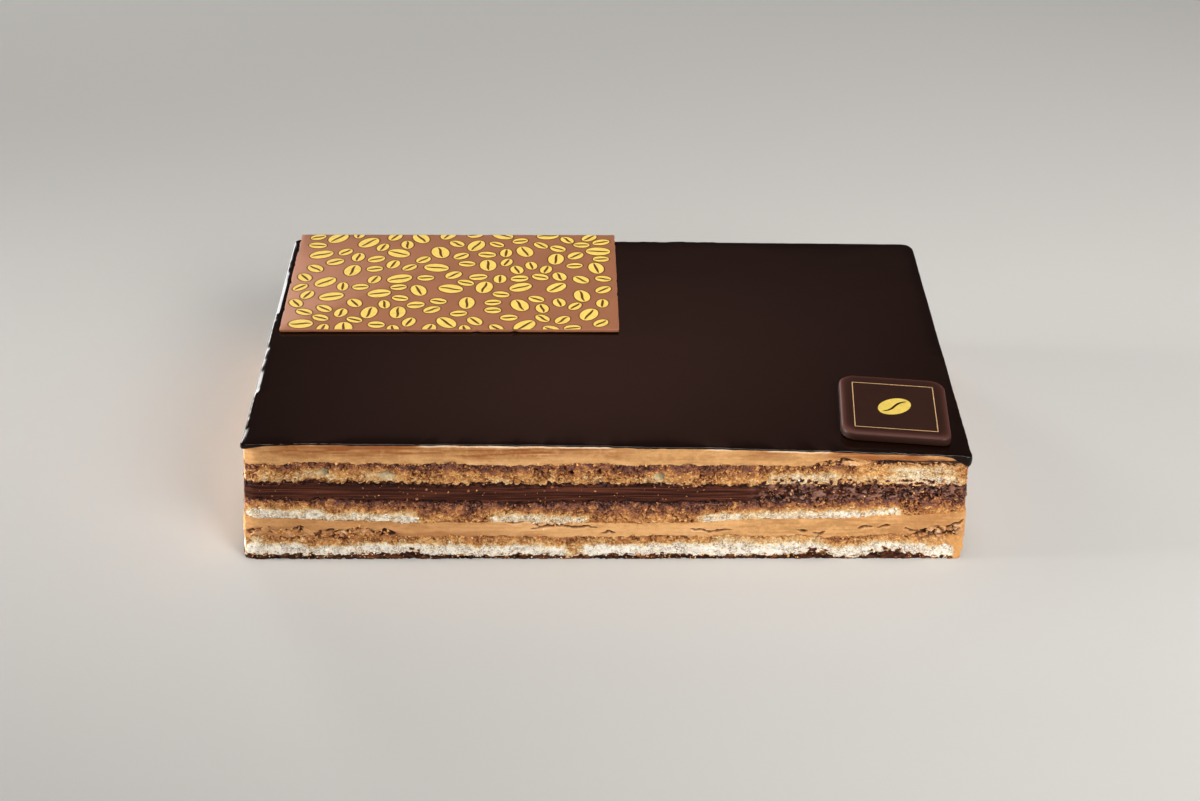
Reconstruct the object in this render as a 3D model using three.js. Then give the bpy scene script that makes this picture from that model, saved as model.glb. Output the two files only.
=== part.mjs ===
import * as THREE from "three";

// An opera cake, trimmed on all four sides so that its layers show all round, with a chocolate
// plate and a small chocolate badge on its glaze. Sizes are millimetres and angles degrees.
// X runs along the cut front, Y from the front to the back and Z up from the foot.

// Driving dimensions.
const LENGTH = 200.6; // of the foot, along the cut front
const DEPTH = 120; // of the foot
const CORNER_RADIUS = { frontRight: 1.2, backRight: 3.6, backLeft: 1.6, frontLeft: 0.8 };
const LEAN = { left: 3, right: 0.7, front: 0.3, back: 0.8 }; // how far each side leans in at full height
const FULL_HEIGHT = 38;
const GAP = 0.1; // kept between neighbouring layers, so that each stays a solid of its own
const REST_GAP = 0.15; // kept under what lies on the glaze
const SEED = 20;

// Stops on the way round: points on each corner's arc and on the straight sides between them.
const ARC_STOPS = 4;
const SIDE_STOPS = { long: 36, short: 20 };
const CORE_STEP = 4; // the inner ring of a boundary has one point for this many at the edge
const CORE_INSET = 8; // how far the inner ring lies behind the cut side

// The boundaries from the foot up. Each gives its height at the left end, the middle and the right
// end of the front and of the back. Across the depth it runs straight from the one to the other.
const FOOT = { front: [0, 0, 0], back: [0, 0, 0], wave: 0, edge: 0 };
const BOUNDARIES = [
  { front: [1.7, 1.3, 1.5], back: [1.5, 1.4, 1.6], wave: 0.3, edge: 0.15 },
  { front: [7.8, 7.7, 7.8], back: [8.1, 7.8, 8.0], wave: 0.35, edge: 0.2 },
  { front: [14.2, 12.0, 15.9], back: [14.4, 14.0, 14.2], wave: 0.45, edge: 0.2 },
  { front: [20.3, 18.7, 20.9], back: [20.4, 20.3, 19.8], wave: 0.4, edge: 0.15 },
  { front: [25.3, 24.7, 24.1], back: [26.0, 25.6, 25.2], wave: 0.35, edge: 0.15 },
  { front: [31.7, 31.1, 30.6], back: [32.5, 32.0, 31.4], wave: 0.35, edge: 0.15 },
  { front: [37.4, 36.6, 33.5], back: [38.4, 37.8, 36.7], wave: 0.12, edge: 0.05, drip: true },
];
const TOP = { front: [38.1, 37.3, 34.2], back: [39.2, 38.6, 37.5], wave: 0, edge: 0 };
const WAVES_ROUND = [9, 17, 31]; // how many times each wave runs round the cake
const DRIPS = { right: 1.8, left: 0.9, reach: 4 }; // glaze run down over the two front corners

// The layers from the foot up. rows are the rings of points between a layer's two edges, bulge is
// how far its middle stands out, and crag how far its crumb is torn in and out.
const LAYERS = [
  { name: "base_coat", colour: "#22120d", roughness: 0.45, rows: 0, bulge: 0, crag: 0 },
  { name: "sponge_bottom", colour: "#c99a5e", roughness: 0.9, rows: 3, bulge: -0.1, crag: 0.5 },
  { name: "cream_lower", colour: "#cd9a63", roughness: 0.55, rows: 2, bulge: 0.15, crag: 0.12 },
  { name: "sponge_middle", colour: "#8f5932", roughness: 0.9, rows: 3, bulge: -0.15, crag: 0.5 },
  { name: "ganache", colour: "#3b1f19", roughness: 0.45, rows: 2, bulge: 0.05, crag: 0.12 },
  { name: "sponge_top", colour: "#b78250", roughness: 0.9, rows: 3, bulge: -0.15, crag: 0.5 },
  { name: "cream_upper", colour: "#cf9c66", roughness: 0.55, rows: 2, bulge: 0.1, crag: 0.1 },
];
const GLAZE = { name: "glaze", colour: "#281a17", roughness: 0.12, lip: 0.3, shoulder: 0.6 };
const GLAZE_RINGS = [0.93, 0.5]; // inner rings of the glaze's top, as shares of the way out

// The plate of milk chocolate on the left of the glaze, and the badge at its front right.
const PLAQUE = {
  name: "plaque",
  colour: "#a8694f",
  roughness: 0.4,
  width: 100,
  depth: 60.9,
  radius: 0.5,
  profile: [
    [0, 0.1],
    [0.15, 0],
    [0.7, 0],
    [0.85, 0.15],
  ],
  centre: [-45.0, 30.4],
  turn: 0.58,
};
const BADGE = {
  name: "badge",
  colour: "#4a2b25",
  roughness: 0.3,
  width: 30,
  depth: 30,
  radius: 4.6,
  profile: [
    [0, 0.2],
    [0.3, 0],
    [1.8, 0.3],
    [2.4, 0.8],
    [2.7, 1.7],
  ],
  centre: [80.9, -40.6],
  turn: -4.3,
};
const PLATE_ARC_STOPS = 6; // steps on each rounded corner of a plate
const REST_SAMPLES = 12; // places tested each way under a plate

// A seeded source of numbers from 0 to 1.
function randomFrom(seed) {
  let state = seed >>> 0;
  return () => {
    state = (state + 0x6d2b79f5) >>> 0;
    let t = Math.imul(state ^ (state >>> 15), 1 | state);
    t = (t + Math.imul(t ^ (t >>> 7), 61 | t)) ^ t;
    return ((t ^ (t >>> 14)) >>> 0) / 2 ** 32;
  };
}

const random = randomFrom(SEED);

// How far each stop of a ring is pushed in or out, up to size. The stops of one corner move as one.
function pushes(size) {
  let last = 0;
  return STOPS.map((stop) => {
    last = stop.joined ? last : (2 * random() - 1) * size;
    return last;
  });
}

// The stops round the foot's outline, anticlockwise from the front right corner. Each has its place,
// the direction it faces and how far round it stands, from 0 to 1.
function outlineStops() {
  const corners = [
    { sx: 1, sy: -1, radius: CORNER_RADIUS.frontRight, after: SIDE_STOPS.short },
    { sx: 1, sy: 1, radius: CORNER_RADIUS.backRight, after: SIDE_STOPS.long },
    { sx: -1, sy: 1, radius: CORNER_RADIUS.backLeft, after: SIDE_STOPS.short },
    { sx: -1, sy: -1, radius: CORNER_RADIUS.frontLeft, after: SIDE_STOPS.long },
  ];
  const arcs = corners.map(({ sx, sy, radius }, i) => {
    const middle = new THREE.Vector2(sx * (LENGTH / 2 - radius), sy * (DEPTH / 2 - radius));
    return Array.from({ length: ARC_STOPS }, (_, k) => {
      const angle = (Math.PI / 2) * (i - 1 + k / (ARC_STOPS - 1));
      const facing = new THREE.Vector2(Math.cos(angle), Math.sin(angle));
      const place = middle.clone().addScaledVector(facing, radius);
      return { place, facing, joined: k > 0 };
    });
  });
  const stops = arcs.flatMap((arc, i) => {
    const from = arc[ARC_STOPS - 1];
    const to = arcs[(i + 1) % arcs.length][0];
    const count = corners[i].after;
    const side = Array.from({ length: count }, (_, k) => ({
      place: from.place.clone().lerp(to.place, (k + 1) / (count + 1)),
      facing: from.facing.clone(),
    }));
    return [...arc, ...side];
  });
  let way = 0;
  stops.forEach((stop, i) => {
    way += i ? stop.place.distanceTo(stops[i - 1].place) : 0;
    stop.way = way;
  });
  const round = way + stops[0].place.distanceTo(stops[stops.length - 1].place);
  stops.forEach((stop) => (stop.round = stop.way / round));
  return stops;
}

const STOPS = outlineStops();

// How far the glaze has run down at a stop.
function dripAt(stop) {
  return [1, -1].reduce((sum, side) => {
    const corner = new THREE.Vector2((side * LENGTH) / 2, -DEPTH / 2);
    const near = stop.place.distanceTo(corner) / DRIPS.reach;
    return sum + (side > 0 ? DRIPS.right : DRIPS.left) * Math.exp(-near * near);
  }, 0);
}

// The curve through three heights at the left, the middle and the right, for u from 0 to 1.
function through([left, middle, right], u) {
  return left + u * (4 * middle - 3 * left - right) + 2 * u * u * (left - 2 * middle + right);
}

// The height of a boundary's smooth surface over a place in the plan.
function heightAt(boundary, x, y) {
  const u = x / LENGTH + 0.5;
  const v = y / DEPTH + 0.5;
  return THREE.MathUtils.lerp(through(boundary.front, u), through(boundary.back, u), v);
}

// A place in the foot's plan as it stands at height z, where the leaning sides draw the plan in.
function drawnIn(place, z) {
  const share = z / FULL_HEIGHT;
  const u = place.x / LENGTH + 0.5;
  const v = place.y / DEPTH + 0.5;
  const x = place.x + share * THREE.MathUtils.lerp(LEAN.left, -LEAN.right, u);
  const y = place.y + share * THREE.MathUtils.lerp(LEAN.front, -LEAN.back, v);
  return new THREE.Vector2(x, y);
}

// The point over a stop at height z, moved out from the leaning side.
function sidePoint(stop, z, out) {
  const place = drawnIn(stop.place, z).addScaledVector(stop.facing, out);
  return new THREE.Vector3(place.x, place.y, z);
}

// A boundary's points: a wavy edge, a smooth inner ring and its middle. Both layers that meet there
// are made from the same points, so that they never cross.
function boundaryPoints(boundary) {
  const phases = WAVES_ROUND.map(() => random() * 2 * Math.PI);
  const wave = (round) =>
    WAVES_ROUND.reduce((sum, times, i) => sum + Math.sin(2 * Math.PI * times * round + phases[i]), 0);
  const pushed = pushes(boundary.edge);
  const edge = STOPS.map((stop, i) => {
    const { x, y } = stop.place;
    const drip = boundary.drip ? dripAt(stop) : 0;
    const z = heightAt(boundary, x, y) + (boundary.wave / 2) * wave(stop.round) - drip;
    return sidePoint(stop, z, pushed[i]);
  });
  const core = STOPS.filter((_, i) => i % CORE_STEP === 0).map((stop) => {
    const share = 1 - CORE_INSET / Math.min(LENGTH, DEPTH) / 0.5;
    const { x, y } = stop.place.clone().multiplyScalar(share);
    return new THREE.Vector3(x, y, heightAt(boundary, x, y));
  });
  return { edge, inner: [core], middle: new THREE.Vector3(0, 0, heightAt(boundary, 0, 0)) };
}

// A growing list of triangles over shared points.
class Skin {
  constructor() {
    this.points = [];
    this.faces = [];
  }

  // Adds a ring of points and gives back their numbers.
  ring(points, lift = 0) {
    const first = this.points.length;
    points.forEach((p) => this.points.push([p.x, p.y, p.z + lift]));
    return points.map((_, i) => first + i);
  }

  // Joins two rings of equal count, with the faces outward where the second lies above the first.
  wall(low, high) {
    low.forEach((a, i) => {
      const next = (i + 1) % low.length;
      this.faces.push([a, low[next], high[next]], [a, high[next], high[i]]);
    });
  }

  // Joins a ring to a smaller one inside it, with the faces up, or down if it is an underside.
  lid(outer, inner, down) {
    const step = outer.length / inner.length;
    inner.forEach((b, i) => {
      const after = inner[(i + 1) % inner.length];
      for (let k = 0; k < step; k++) {
        const a = outer[i * step + k];
        const next = outer[(i * step + k + 1) % outer.length];
        const to = k < step / 2 ? b : after;
        this.face([a, next, to], down);
        if (k + 1 === step / 2 || step === 1) this.face([next, after, b], down);
      }
    });
  }

  // Closes a ring with a fan round one point.
  fan(ring, middle, down, lift = 0) {
    const [centre] = this.ring([middle], lift);
    ring.forEach((a, i) => this.face([a, ring[(i + 1) % ring.length], centre], down));
  }

  face(corners, down) {
    this.faces.push(down ? corners.toReversed() : corners);
  }

  // Closes the ring numbered edge with a boundary's inner rings and middle.
  cap(edge, boundary, down, lift = 0) {
    const rings = [edge, ...boundary.inner.map((ring) => this.ring(ring, lift))];
    rings.slice(1).forEach((inner, i) => this.lid(rings[i], inner, down));
    this.fan(rings[rings.length - 1], boundary.middle, down, lift);
  }

  geometry() {
    const geometry = new THREE.BufferGeometry();
    geometry.setAttribute("position", new THREE.Float32BufferAttribute(this.points.flat(), 3));
    geometry.setIndex(this.faces.flat());
    geometry.computeVertexNormals();
    return geometry;
  }
}

function meshOf(geometry, { name, colour, roughness }) {
  const material = new THREE.MeshStandardMaterial({ color: colour, roughness, metalness: 0 });
  const mesh = new THREE.Mesh(geometry, material);
  mesh.name = name;
  return mesh;
}

// A layer of cake, filling or coating between two boundaries. Its side swells or sinks between its
// edges and is torn where it is crumb.
function layerMesh(layer, below, above) {
  const skin = new Skin();
  const rings = [skin.ring(below.edge, GAP)];
  for (let row = 1; row <= layer.rows; row++) {
    const share = row / (layer.rows + 1);
    const swell = layer.bulge * Math.sin(Math.PI * share);
    const crags = pushes(layer.crag);
    const ring = STOPS.map((stop, i) => {
      const z = THREE.MathUtils.lerp(below.edge[i].z + GAP, above.edge[i].z, share);
      return sidePoint(stop, z, swell + crags[i]);
    });
    rings.push(skin.ring(ring));
  }
  rings.push(skin.ring(above.edge));
  rings.slice(1).forEach((ring, i) => skin.wall(rings[i], ring));
  skin.cap(rings[0], below, true, GAP);
  skin.cap(rings[rings.length - 1], above, false);
  return meshOf(skin.geometry(), layer);
}

// The poured glaze: a thin sheet with a rounded lip, level on top.
function glazeMesh(below) {
  const skin = new Skin();
  const overEdge = (z, inset) =>
    STOPS.map((stop) => {
      const { x, y } = stop.place;
      return sidePoint(stop, heightAt(TOP, x, y) - z, -inset);
    });
  const rings = [
    skin.ring(below.edge, GAP),
    skin.ring(overEdge(GLAZE.lip, 0)),
    skin.ring(overEdge(0, GLAZE.shoulder)),
  ];
  rings.slice(1).forEach((ring, i) => skin.wall(rings[i], ring));
  skin.cap(rings[0], below, true, GAP);
  const inner = GLAZE_RINGS.map((share) =>
    STOPS.filter((_, i) => i % CORE_STEP === 0).map((stop) => {
      const { x, y } = stop.place.clone().multiplyScalar(share);
      return new THREE.Vector3(x, y, heightAt(TOP, x, y));
    }),
  );
  const middle = new THREE.Vector3(0, 0, heightAt(TOP, 0, 0));
  skin.cap(rings[rings.length - 1], { inner, middle }, false);
  return meshOf(skin.geometry(), GLAZE);
}

// A flat plate with round corners. Each line of its profile is a height and how far the outline is
// drawn in there.
function plateGeometry({ width, depth, radius, profile }) {
  const skin = new Skin();
  const signs = [
    [1, -1],
    [1, 1],
    [-1, 1],
    [-1, -1],
  ];
  const rings = profile.map(([z, inset]) => {
    const round = Math.max(radius - inset, 0.1);
    const points = signs.flatMap(([sx, sy], i) =>
      Array.from({ length: PLATE_ARC_STOPS + 1 }, (_, k) => {
        const angle = (Math.PI / 2) * (i - 1 + k / PLATE_ARC_STOPS);
        const x = sx * (width / 2 - inset - round) + round * Math.cos(angle);
        const y = sy * (depth / 2 - inset - round) + round * Math.sin(angle);
        return new THREE.Vector3(x, y, z);
      }),
    );
    return skin.ring(points);
  });
  rings.slice(1).forEach((ring, i) => skin.wall(rings[i], ring));
  skin.fan(rings[0], new THREE.Vector3(0, 0, profile[0][0]), true);
  const top = profile[profile.length - 1][0];
  skin.fan(rings[rings.length - 1], new THREE.Vector3(0, 0, top), false);
  return skin.geometry();
}

// A plate laid on the glaze: tilted as the glaze is under it, and just clear of it all over.
function plateMesh(plate) {
  const mesh = meshOf(plateGeometry(plate), plate);
  const [cx, cy] = plate.centre;
  const slopeX = (heightAt(TOP, cx + 1, cy) - heightAt(TOP, cx - 1, cy)) / 2;
  const slopeY = (heightAt(TOP, cx, cy + 1) - heightAt(TOP, cx, cy - 1)) / 2;
  const up = new THREE.Vector3(-slopeX, -slopeY, 1).normalize();
  const tilt = new THREE.Quaternion().setFromUnitVectors(new THREE.Vector3(0, 0, 1), up);
  const turn = new THREE.Quaternion().setFromAxisAngle(
    new THREE.Vector3(0, 0, 1),
    THREE.MathUtils.degToRad(plate.turn),
  );
  mesh.quaternion.copy(tilt.multiply(turn));
  let lift = -Infinity;
  for (let i = 0; i <= REST_SAMPLES; i++) {
    for (let j = 0; j <= REST_SAMPLES; j++) {
      const across = (i / REST_SAMPLES - 0.5) * plate.width;
      const along = (j / REST_SAMPLES - 0.5) * plate.depth;
      const under = new THREE.Vector3(across, along, 0).applyQuaternion(mesh.quaternion);
      lift = Math.max(lift, heightAt(TOP, cx + under.x, cy + under.y) - under.z);
    }
  }
  mesh.position.set(cx, cy, lift + REST_GAP);
  return mesh;
}

const boundaries = [FOOT, ...BOUNDARIES].map(boundaryPoints);
boundaries[0].edge.forEach((p) => (p.z = -GAP));
boundaries[0].inner.flat().forEach((p) => (p.z = -GAP));
boundaries[0].middle.z = -GAP;

const cake = new THREE.Group();
cake.name = "opera_cake";
LAYERS.forEach((layer, i) => cake.add(layerMesh(layer, boundaries[i], boundaries[i + 1])));
cake.add(glazeMesh(boundaries[LAYERS.length]));
cake.add(plateMesh(PLAQUE));
cake.add(plateMesh(BADGE));

// The origin is the middle of the foot of the whole.
cake.updateMatrixWorld(true);
const middle = new THREE.Box3().setFromObject(cake, true).getCenter(new THREE.Vector3());
cake.position.set(-middle.x, -middle.y, 0);

export default cake;
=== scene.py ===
"""An opera cake: coffee sponge, coffee buttercream and chocolate ganache in layers under a dark glaze.

The cake is trimmed on all four sides, so its layers show all round. A plate of milk chocolate with a
gold bean print lies on the left of the glaze, and a small moulded badge at its front right.
Lengths are millimetres until a mesh is made. A place on the cut side is given by its way, counted
round the foot from the left end of the front, and by its height.
"""

import functools
import math

import bpy
import numpy as np
from bpy.props import FloatProperty, FloatVectorProperty, IntProperty, PointerProperty
from mathutils import Matrix, Vector
from mathutils.bvhtree import BVHTree


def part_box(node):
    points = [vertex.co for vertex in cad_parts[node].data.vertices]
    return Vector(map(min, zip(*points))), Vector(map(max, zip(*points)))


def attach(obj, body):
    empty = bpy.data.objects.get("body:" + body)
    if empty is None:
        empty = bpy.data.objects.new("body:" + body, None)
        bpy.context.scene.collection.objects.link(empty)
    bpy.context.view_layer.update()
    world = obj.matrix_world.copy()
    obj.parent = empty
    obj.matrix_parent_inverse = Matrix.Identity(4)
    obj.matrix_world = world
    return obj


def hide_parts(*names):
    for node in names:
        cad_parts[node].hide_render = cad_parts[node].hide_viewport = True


bl_info = {
    "name": "Opera cake",
    "version": (1, 0, 0),
    "blender": (4, 5, 0),
    "location": "3D View > Sidebar > Opera cake",
    "description": "Dresses the solids of an opera cake with cut crumb, cream, glaze and chocolate",
    "category": "Object",
}

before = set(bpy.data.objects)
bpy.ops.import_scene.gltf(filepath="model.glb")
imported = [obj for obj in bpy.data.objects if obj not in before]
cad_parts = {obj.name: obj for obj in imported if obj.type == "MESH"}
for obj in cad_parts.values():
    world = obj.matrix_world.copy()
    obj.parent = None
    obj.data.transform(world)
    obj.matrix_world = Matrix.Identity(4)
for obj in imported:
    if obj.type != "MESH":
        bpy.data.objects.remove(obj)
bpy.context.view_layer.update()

MM = 0.001
BODY = "root"

LAYERS = (
    "base_coat",
    "sponge_bottom",
    "cream_lower",
    "sponge_middle",
    "ganache",
    "sponge_top",
    "cream_upper",
    "glaze",
)


# ---------------------------------------------------------------- the cake's form, from the frame


def box_mm(node):
    """A solid's lowest and highest corners in millimetres."""
    low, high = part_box(node)
    return np.array(low) / MM, np.array(high) / MM


FOOT_LOW, FOOT_HIGH = box_mm("base_coat")
GLAZE_LOW, GLAZE_HIGH = box_mm("glaze")
LENGTH, DEPTH = (FOOT_HIGH - FOOT_LOW)[:2]
MIDDLE = ((FOOT_HIGH + FOOT_LOW) / 2)[:2]
GLAZE_HEIGHT = (GLAZE_LOW[2] + GLAZE_HIGH[2]) / 2
LEAN_LOW = (GLAZE_LOW - FOOT_LOW)[:2] / GLAZE_HEIGHT  # how far the left and front lean in for each mm up
LEAN_HIGH = (FOOT_HIGH - GLAZE_HIGH)[:2] / GLAZE_HEIGHT  # the same of the right and the back

CORNER_RADIUS = {"front_right": 1.2, "back_right": 3.6, "back_left": 1.6, "front_left": 0.8}
CORNERS = (  # in the order of the way round: name, which way it lies from the middle, first facing
    ("front_right", (1, -1), -90),
    ("back_right", (1, 1), 0),
    ("back_left", (-1, 1), 90),
    ("front_left", (-1, -1), 180),
)
ARC_POINTS = 13


def smooth(value, start=0.0, end=1.0):
    """Rises softly from 0 at start to 1 at end."""
    share = np.clip((value - start) / (end - start), 0, 1)
    return share * share * (3 - 2 * share)


def mixed(first, second, share):
    """Goes from first to second as share goes from 0 to 1."""
    return first + (second - first) * share


class Outline:
    """The foot's plan: a rectangle with a radius of its own at each corner."""

    def __init__(self):
        half = np.array([LENGTH, DEPTH]) / 2
        start = (-half[0] + CORNER_RADIUS["front_left"], -half[1])
        places = [np.array([start])]
        facings = [np.array([math.radians(-90)])]
        for name, side, first in CORNERS:
            radius = CORNER_RADIUS[name]
            turn = np.radians(np.linspace(first, first + 90, ARC_POINTS))
            arc = (half - radius) * side + radius * np.stack([np.cos(turn), np.sin(turn)], axis=1)
            places.append(arc)
            facings.append(turn)
        self.places = np.concatenate(places)
        self.facings = np.concatenate(facings)
        steps = np.linalg.norm(np.diff(self.places, axis=0), axis=1)
        self.ways = np.concatenate([[0], np.cumsum(steps)])
        self.round = self.ways[-1]

    def at(self, way):
        """The place and the facing at each way, from the foot's middle."""
        way = np.mod(way, self.round)
        x = np.interp(way, self.ways, self.places[:, 0])
        y = np.interp(way, self.ways, self.places[:, 1])
        return x, y, np.interp(way, self.ways, self.facings)

    def corner(self, name):
        """The way to the middle of a corner."""
        number = [corner[0] for corner in CORNERS].index(name)
        return self.ways[1 + number * ARC_POINTS + ARC_POINTS // 2]


OUTLINE = Outline()
ROUND = OUTLINE.round


def way_at(x):
    """The way to the place on the cut front that lies x from the foot's middle."""
    return x + LENGTH / 2 - CORNER_RADIUS["front_left"]


def drawn_in(x, y, height):
    """A place of the foot's plan, moved as the leaning sides draw the plan in at that height."""
    right = x / LENGTH + 0.5
    back = y / DEPTH + 0.5
    x = x + height * mixed(LEAN_LOW[0], -LEAN_HIGH[0], right)
    y = y + height * mixed(LEAN_LOW[1], -LEAN_HIGH[1], back)
    return x, y


def on_side(way, height, out):
    """Points that stand out from the leaning cut side."""
    x, y, facing = OUTLINE.at(way)
    x, y = drawn_in(x, y, height)
    x = x + out * np.cos(facing) + MIDDLE[0]
    y = y + out * np.sin(facing) + MIDDLE[1]
    return np.stack(np.broadcast_arrays(x, y, height), axis=-1)


def behind_side(way, height, inset):
    """Points that lie behind the cut side, on a plan that shrinks towards its middle."""
    x, y, _ = OUTLINE.at(way)
    x, y = drawn_in(x * (1 - 2 * inset / LENGTH), y * (1 - 2 * inset / DEPTH), height)
    return np.stack(np.broadcast_arrays(x + MIDDLE[0], y + MIDDLE[1], height), axis=-1)


ABOVE = 60.0  # a height above everything


@functools.cache
def solid_tree(node):
    """A solid's faces, ready for rays."""
    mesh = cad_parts[node].data
    return BVHTree.FromPolygons([v.co for v in mesh.vertices], [p.vertices for p in mesh.polygons])


def top_height(node, x, y):
    """How high a solid's upper side is at a place, in the part's frame."""
    start = Vector((x * MM, y * MM, ABOVE * MM))
    hit = solid_tree(node).ray_cast(start, Vector((0, 0, -1)))[0]
    if hit is None:
        raise RuntimeError(f"{node} has nothing under x {x:.1f}, y {y:.1f}")
    return hit.z / MM


LEVEL_STEP = 1.0  # mm of the way between two readings of a border's height
BEHIND_CUT = 1.3  # how far behind the cut they are taken, clear of the crags


@functools.cache
def solid_border(node):
    """The height of the border on top of a layer, read from its solid round the cake."""
    ways = np.arange(0, ROUND, LEVEL_STEP)
    places = behind_side(ways, box_mm(node)[1][2], BEHIND_CUT)
    return ways, np.array([top_height(node, x, y) for x, y, _ in places])


def plain_border(node, way):
    """The height of the border on top of a layer, without its teeth. None is the foot."""
    if node is None:
        return np.zeros_like(way)
    ways, heights = solid_border(node)
    return np.interp(way, ways, heights, period=ROUND)


TOP_TERMS = (
    lambda x, y: np.ones_like(x),
    lambda x, y: x,
    lambda x, y: y,
    lambda x, y: x * x,
    lambda x, y: x * y,
    lambda x, y: x * x * y,
)


@functools.cache
def top_shape():
    """The factors of the smooth surface through the solid glaze's top."""
    x, y = np.meshgrid(np.linspace(-0.44, 0.44, 12) * LENGTH, np.linspace(-0.44, 0.44, 9) * DEPTH)
    x = x.ravel() + MIDDLE[0]
    y = y.ravel() + MIDDLE[1]
    heights = np.array([top_height("glaze", *place) for place in zip(x, y)])
    table = np.stack([term(x / 100, y / 100) for term in TOP_TERMS], axis=1)
    return np.linalg.lstsq(table, heights, rcond=None)[0]


def glaze_top(x, y):
    """The height of the poured top at places in the part's frame."""
    return sum(factor * term(x / 100, y / 100) for factor, term in zip(top_shape(), TOP_TERMS))


# ---------------------------------------------------------------- patterns on the cut side

PATTERN_ROWS = 97


def waves(way, height, size, seed, stretch=1.0):
    """Smooth random waves from -1 to 1, size mm apart and stretch times as long. They close all round."""
    columns = max(3, round(ROUND / (size * stretch)))
    table = np.random.default_rng(seed).uniform(-1, 1, (PATTERN_ROWS, columns))
    across = np.mod(way, ROUND) / ROUND * columns
    up = height / size
    column = np.floor(across).astype(int)
    row = np.floor(up).astype(int)
    to_right = smooth(across - column)
    to_top = smooth(up - row)

    def corner(dx, dy):
        return table[(row + dy) % PATTERN_ROWS, (column + dx) % columns]

    lower = mixed(corner(0, 0), corner(1, 0), to_right)
    upper = mixed(corner(0, 1), corner(1, 1), to_right)
    return mixed(lower, upper, to_top)


def ripple(way, size, seed):
    """Smooth random waves from -1 to 1 along the way alone."""
    return waves(way, np.zeros_like(way), size, seed)


def grains(way, height, size, seed, stretch=1.0):
    """A pattern of grains, size mm high and stretch times as long.

    Gives how far each place is from the middle of its grain and from the border to the next one,
    both in grains, and the grain's own random number from 0 to 1.
    """
    columns = max(3, round(ROUND / (size * stretch)))
    rng = np.random.default_rng(seed)
    middle_x, middle_y, number = rng.uniform(0.08, 0.92, (3, PATTERN_ROWS, columns))
    across = np.mod(way, ROUND) / ROUND * columns
    up = height / size
    column = np.floor(across).astype(int)
    row = np.floor(up).astype(int)
    nearest = np.full(across.shape, 9.0)
    second = nearest.copy()
    own = np.zeros(across.shape)
    for dy in (-1, 0, 1):
        for dx in (-1, 0, 1):
            i = (column + dx) % columns
            j = (row + dy) % PATTERN_ROWS
            x = column + dx + middle_x[j, i]
            y = row + dy + middle_y[j, i]
            distance = np.hypot(across - x, up - y)
            closer = distance < nearest
            second = np.where(closer, nearest, np.minimum(second, distance))
            own = np.where(closer, number[j, i], own)
            nearest = np.where(closer, distance, nearest)
    return nearest, second - nearest, (own - 0.08) / 0.84


def torn(way, height, size, seed):
    """Crumb as a knife tears it: clumps with ragged outlines, seams where they part, and pores.

    Gives the relief in parts of the clumps' depth, how deep each place lies in a seam or pore from
    0 to 1, and the tint of its clump from -1 to 1.
    """
    bent_way = way + 0.45 * size * waves(way, height, 0.7 * size, seed)
    bent_height = height + 0.45 * size * waves(way, height, 0.7 * size, seed + 1)
    _, gap, own = grains(bent_way, bent_height, size, seed + 2, 1.25)
    _, fine_gap, fine_own = grains(bent_way, bent_height, 0.45 * size, seed + 3, 1.15)
    loose = smooth(waves(way, height, 2.1 * size, seed + 4), -0.55, 0.45)
    seam = (1 - smooth(gap, 0.0, 0.3)) * loose
    fine_seam = (1 - smooth(fine_gap, 0.0, 0.38)) * (0.35 + 0.65 * loose)
    hole = waves(way, height, 0.62 * size, seed + 5) + 0.6 * waves(way, height, 0.33 * size, seed + 6)
    pore = smooth(hole, 0.72, 1.0)
    relief = 0.75 * (own - 0.55) - 0.9 * seam + 0.3 * (fine_own - 0.5) - 0.4 * fine_seam - 1.1 * pore
    deep = np.clip(np.maximum(0.95 * seam + 0.35 * fine_seam, pore), 0, 1)
    return relief, deep, 1.2 * (own - 0.5) + 0.8 * (fine_own - 0.5)


def stretches(front, seed):
    """Stretches of the way round. front gives them on the cut front, and chance the like elsewhere."""
    rng = np.random.default_rng(seed)
    lengths = [end - start for start, end in front]
    usual_gap = max(8.0, (LENGTH - sum(lengths)) / len(front))
    found = [(way_at(start), way_at(end)) for start, end in front]
    way = way_at(LENGTH / 2)
    while way < ROUND:
        start = way + usual_gap * rng.uniform(0.4, 1.6)
        way = start + rng.choice(lengths) * rng.uniform(0.7, 1.2)
        found.append((start, min(way, ROUND - 1)))
    return [(start, end) for start, end in found if end > start]


def inside(way, found, soft=1.5):
    """1 in the stretches and 0 between them, with soft ends."""
    share = np.zeros_like(way)
    for start, end in found:
        started = smooth(way, start - soft, start + soft)
        not_ended = smooth(-way, -end - soft, -end + soft)
        share = np.maximum(share, started * not_ended)
    return share


def hump(way, middle, reach):
    """1 at a place of the way round, falling softly to next to nothing at twice the reach from it."""
    away = np.abs(way - middle)
    away = np.minimum(away, ROUND - away) / reach
    return np.exp(-away * away)


def at_corners(way, humps):
    """The sum of humps at named corners of the foot, each with its height and its reach."""
    return sum(rise * hump(way, OUTLINE.corner(corner), reach) for corner, (rise, reach) in humps.items())


# ---------------------------------------------------------------- the layers' borders

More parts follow.
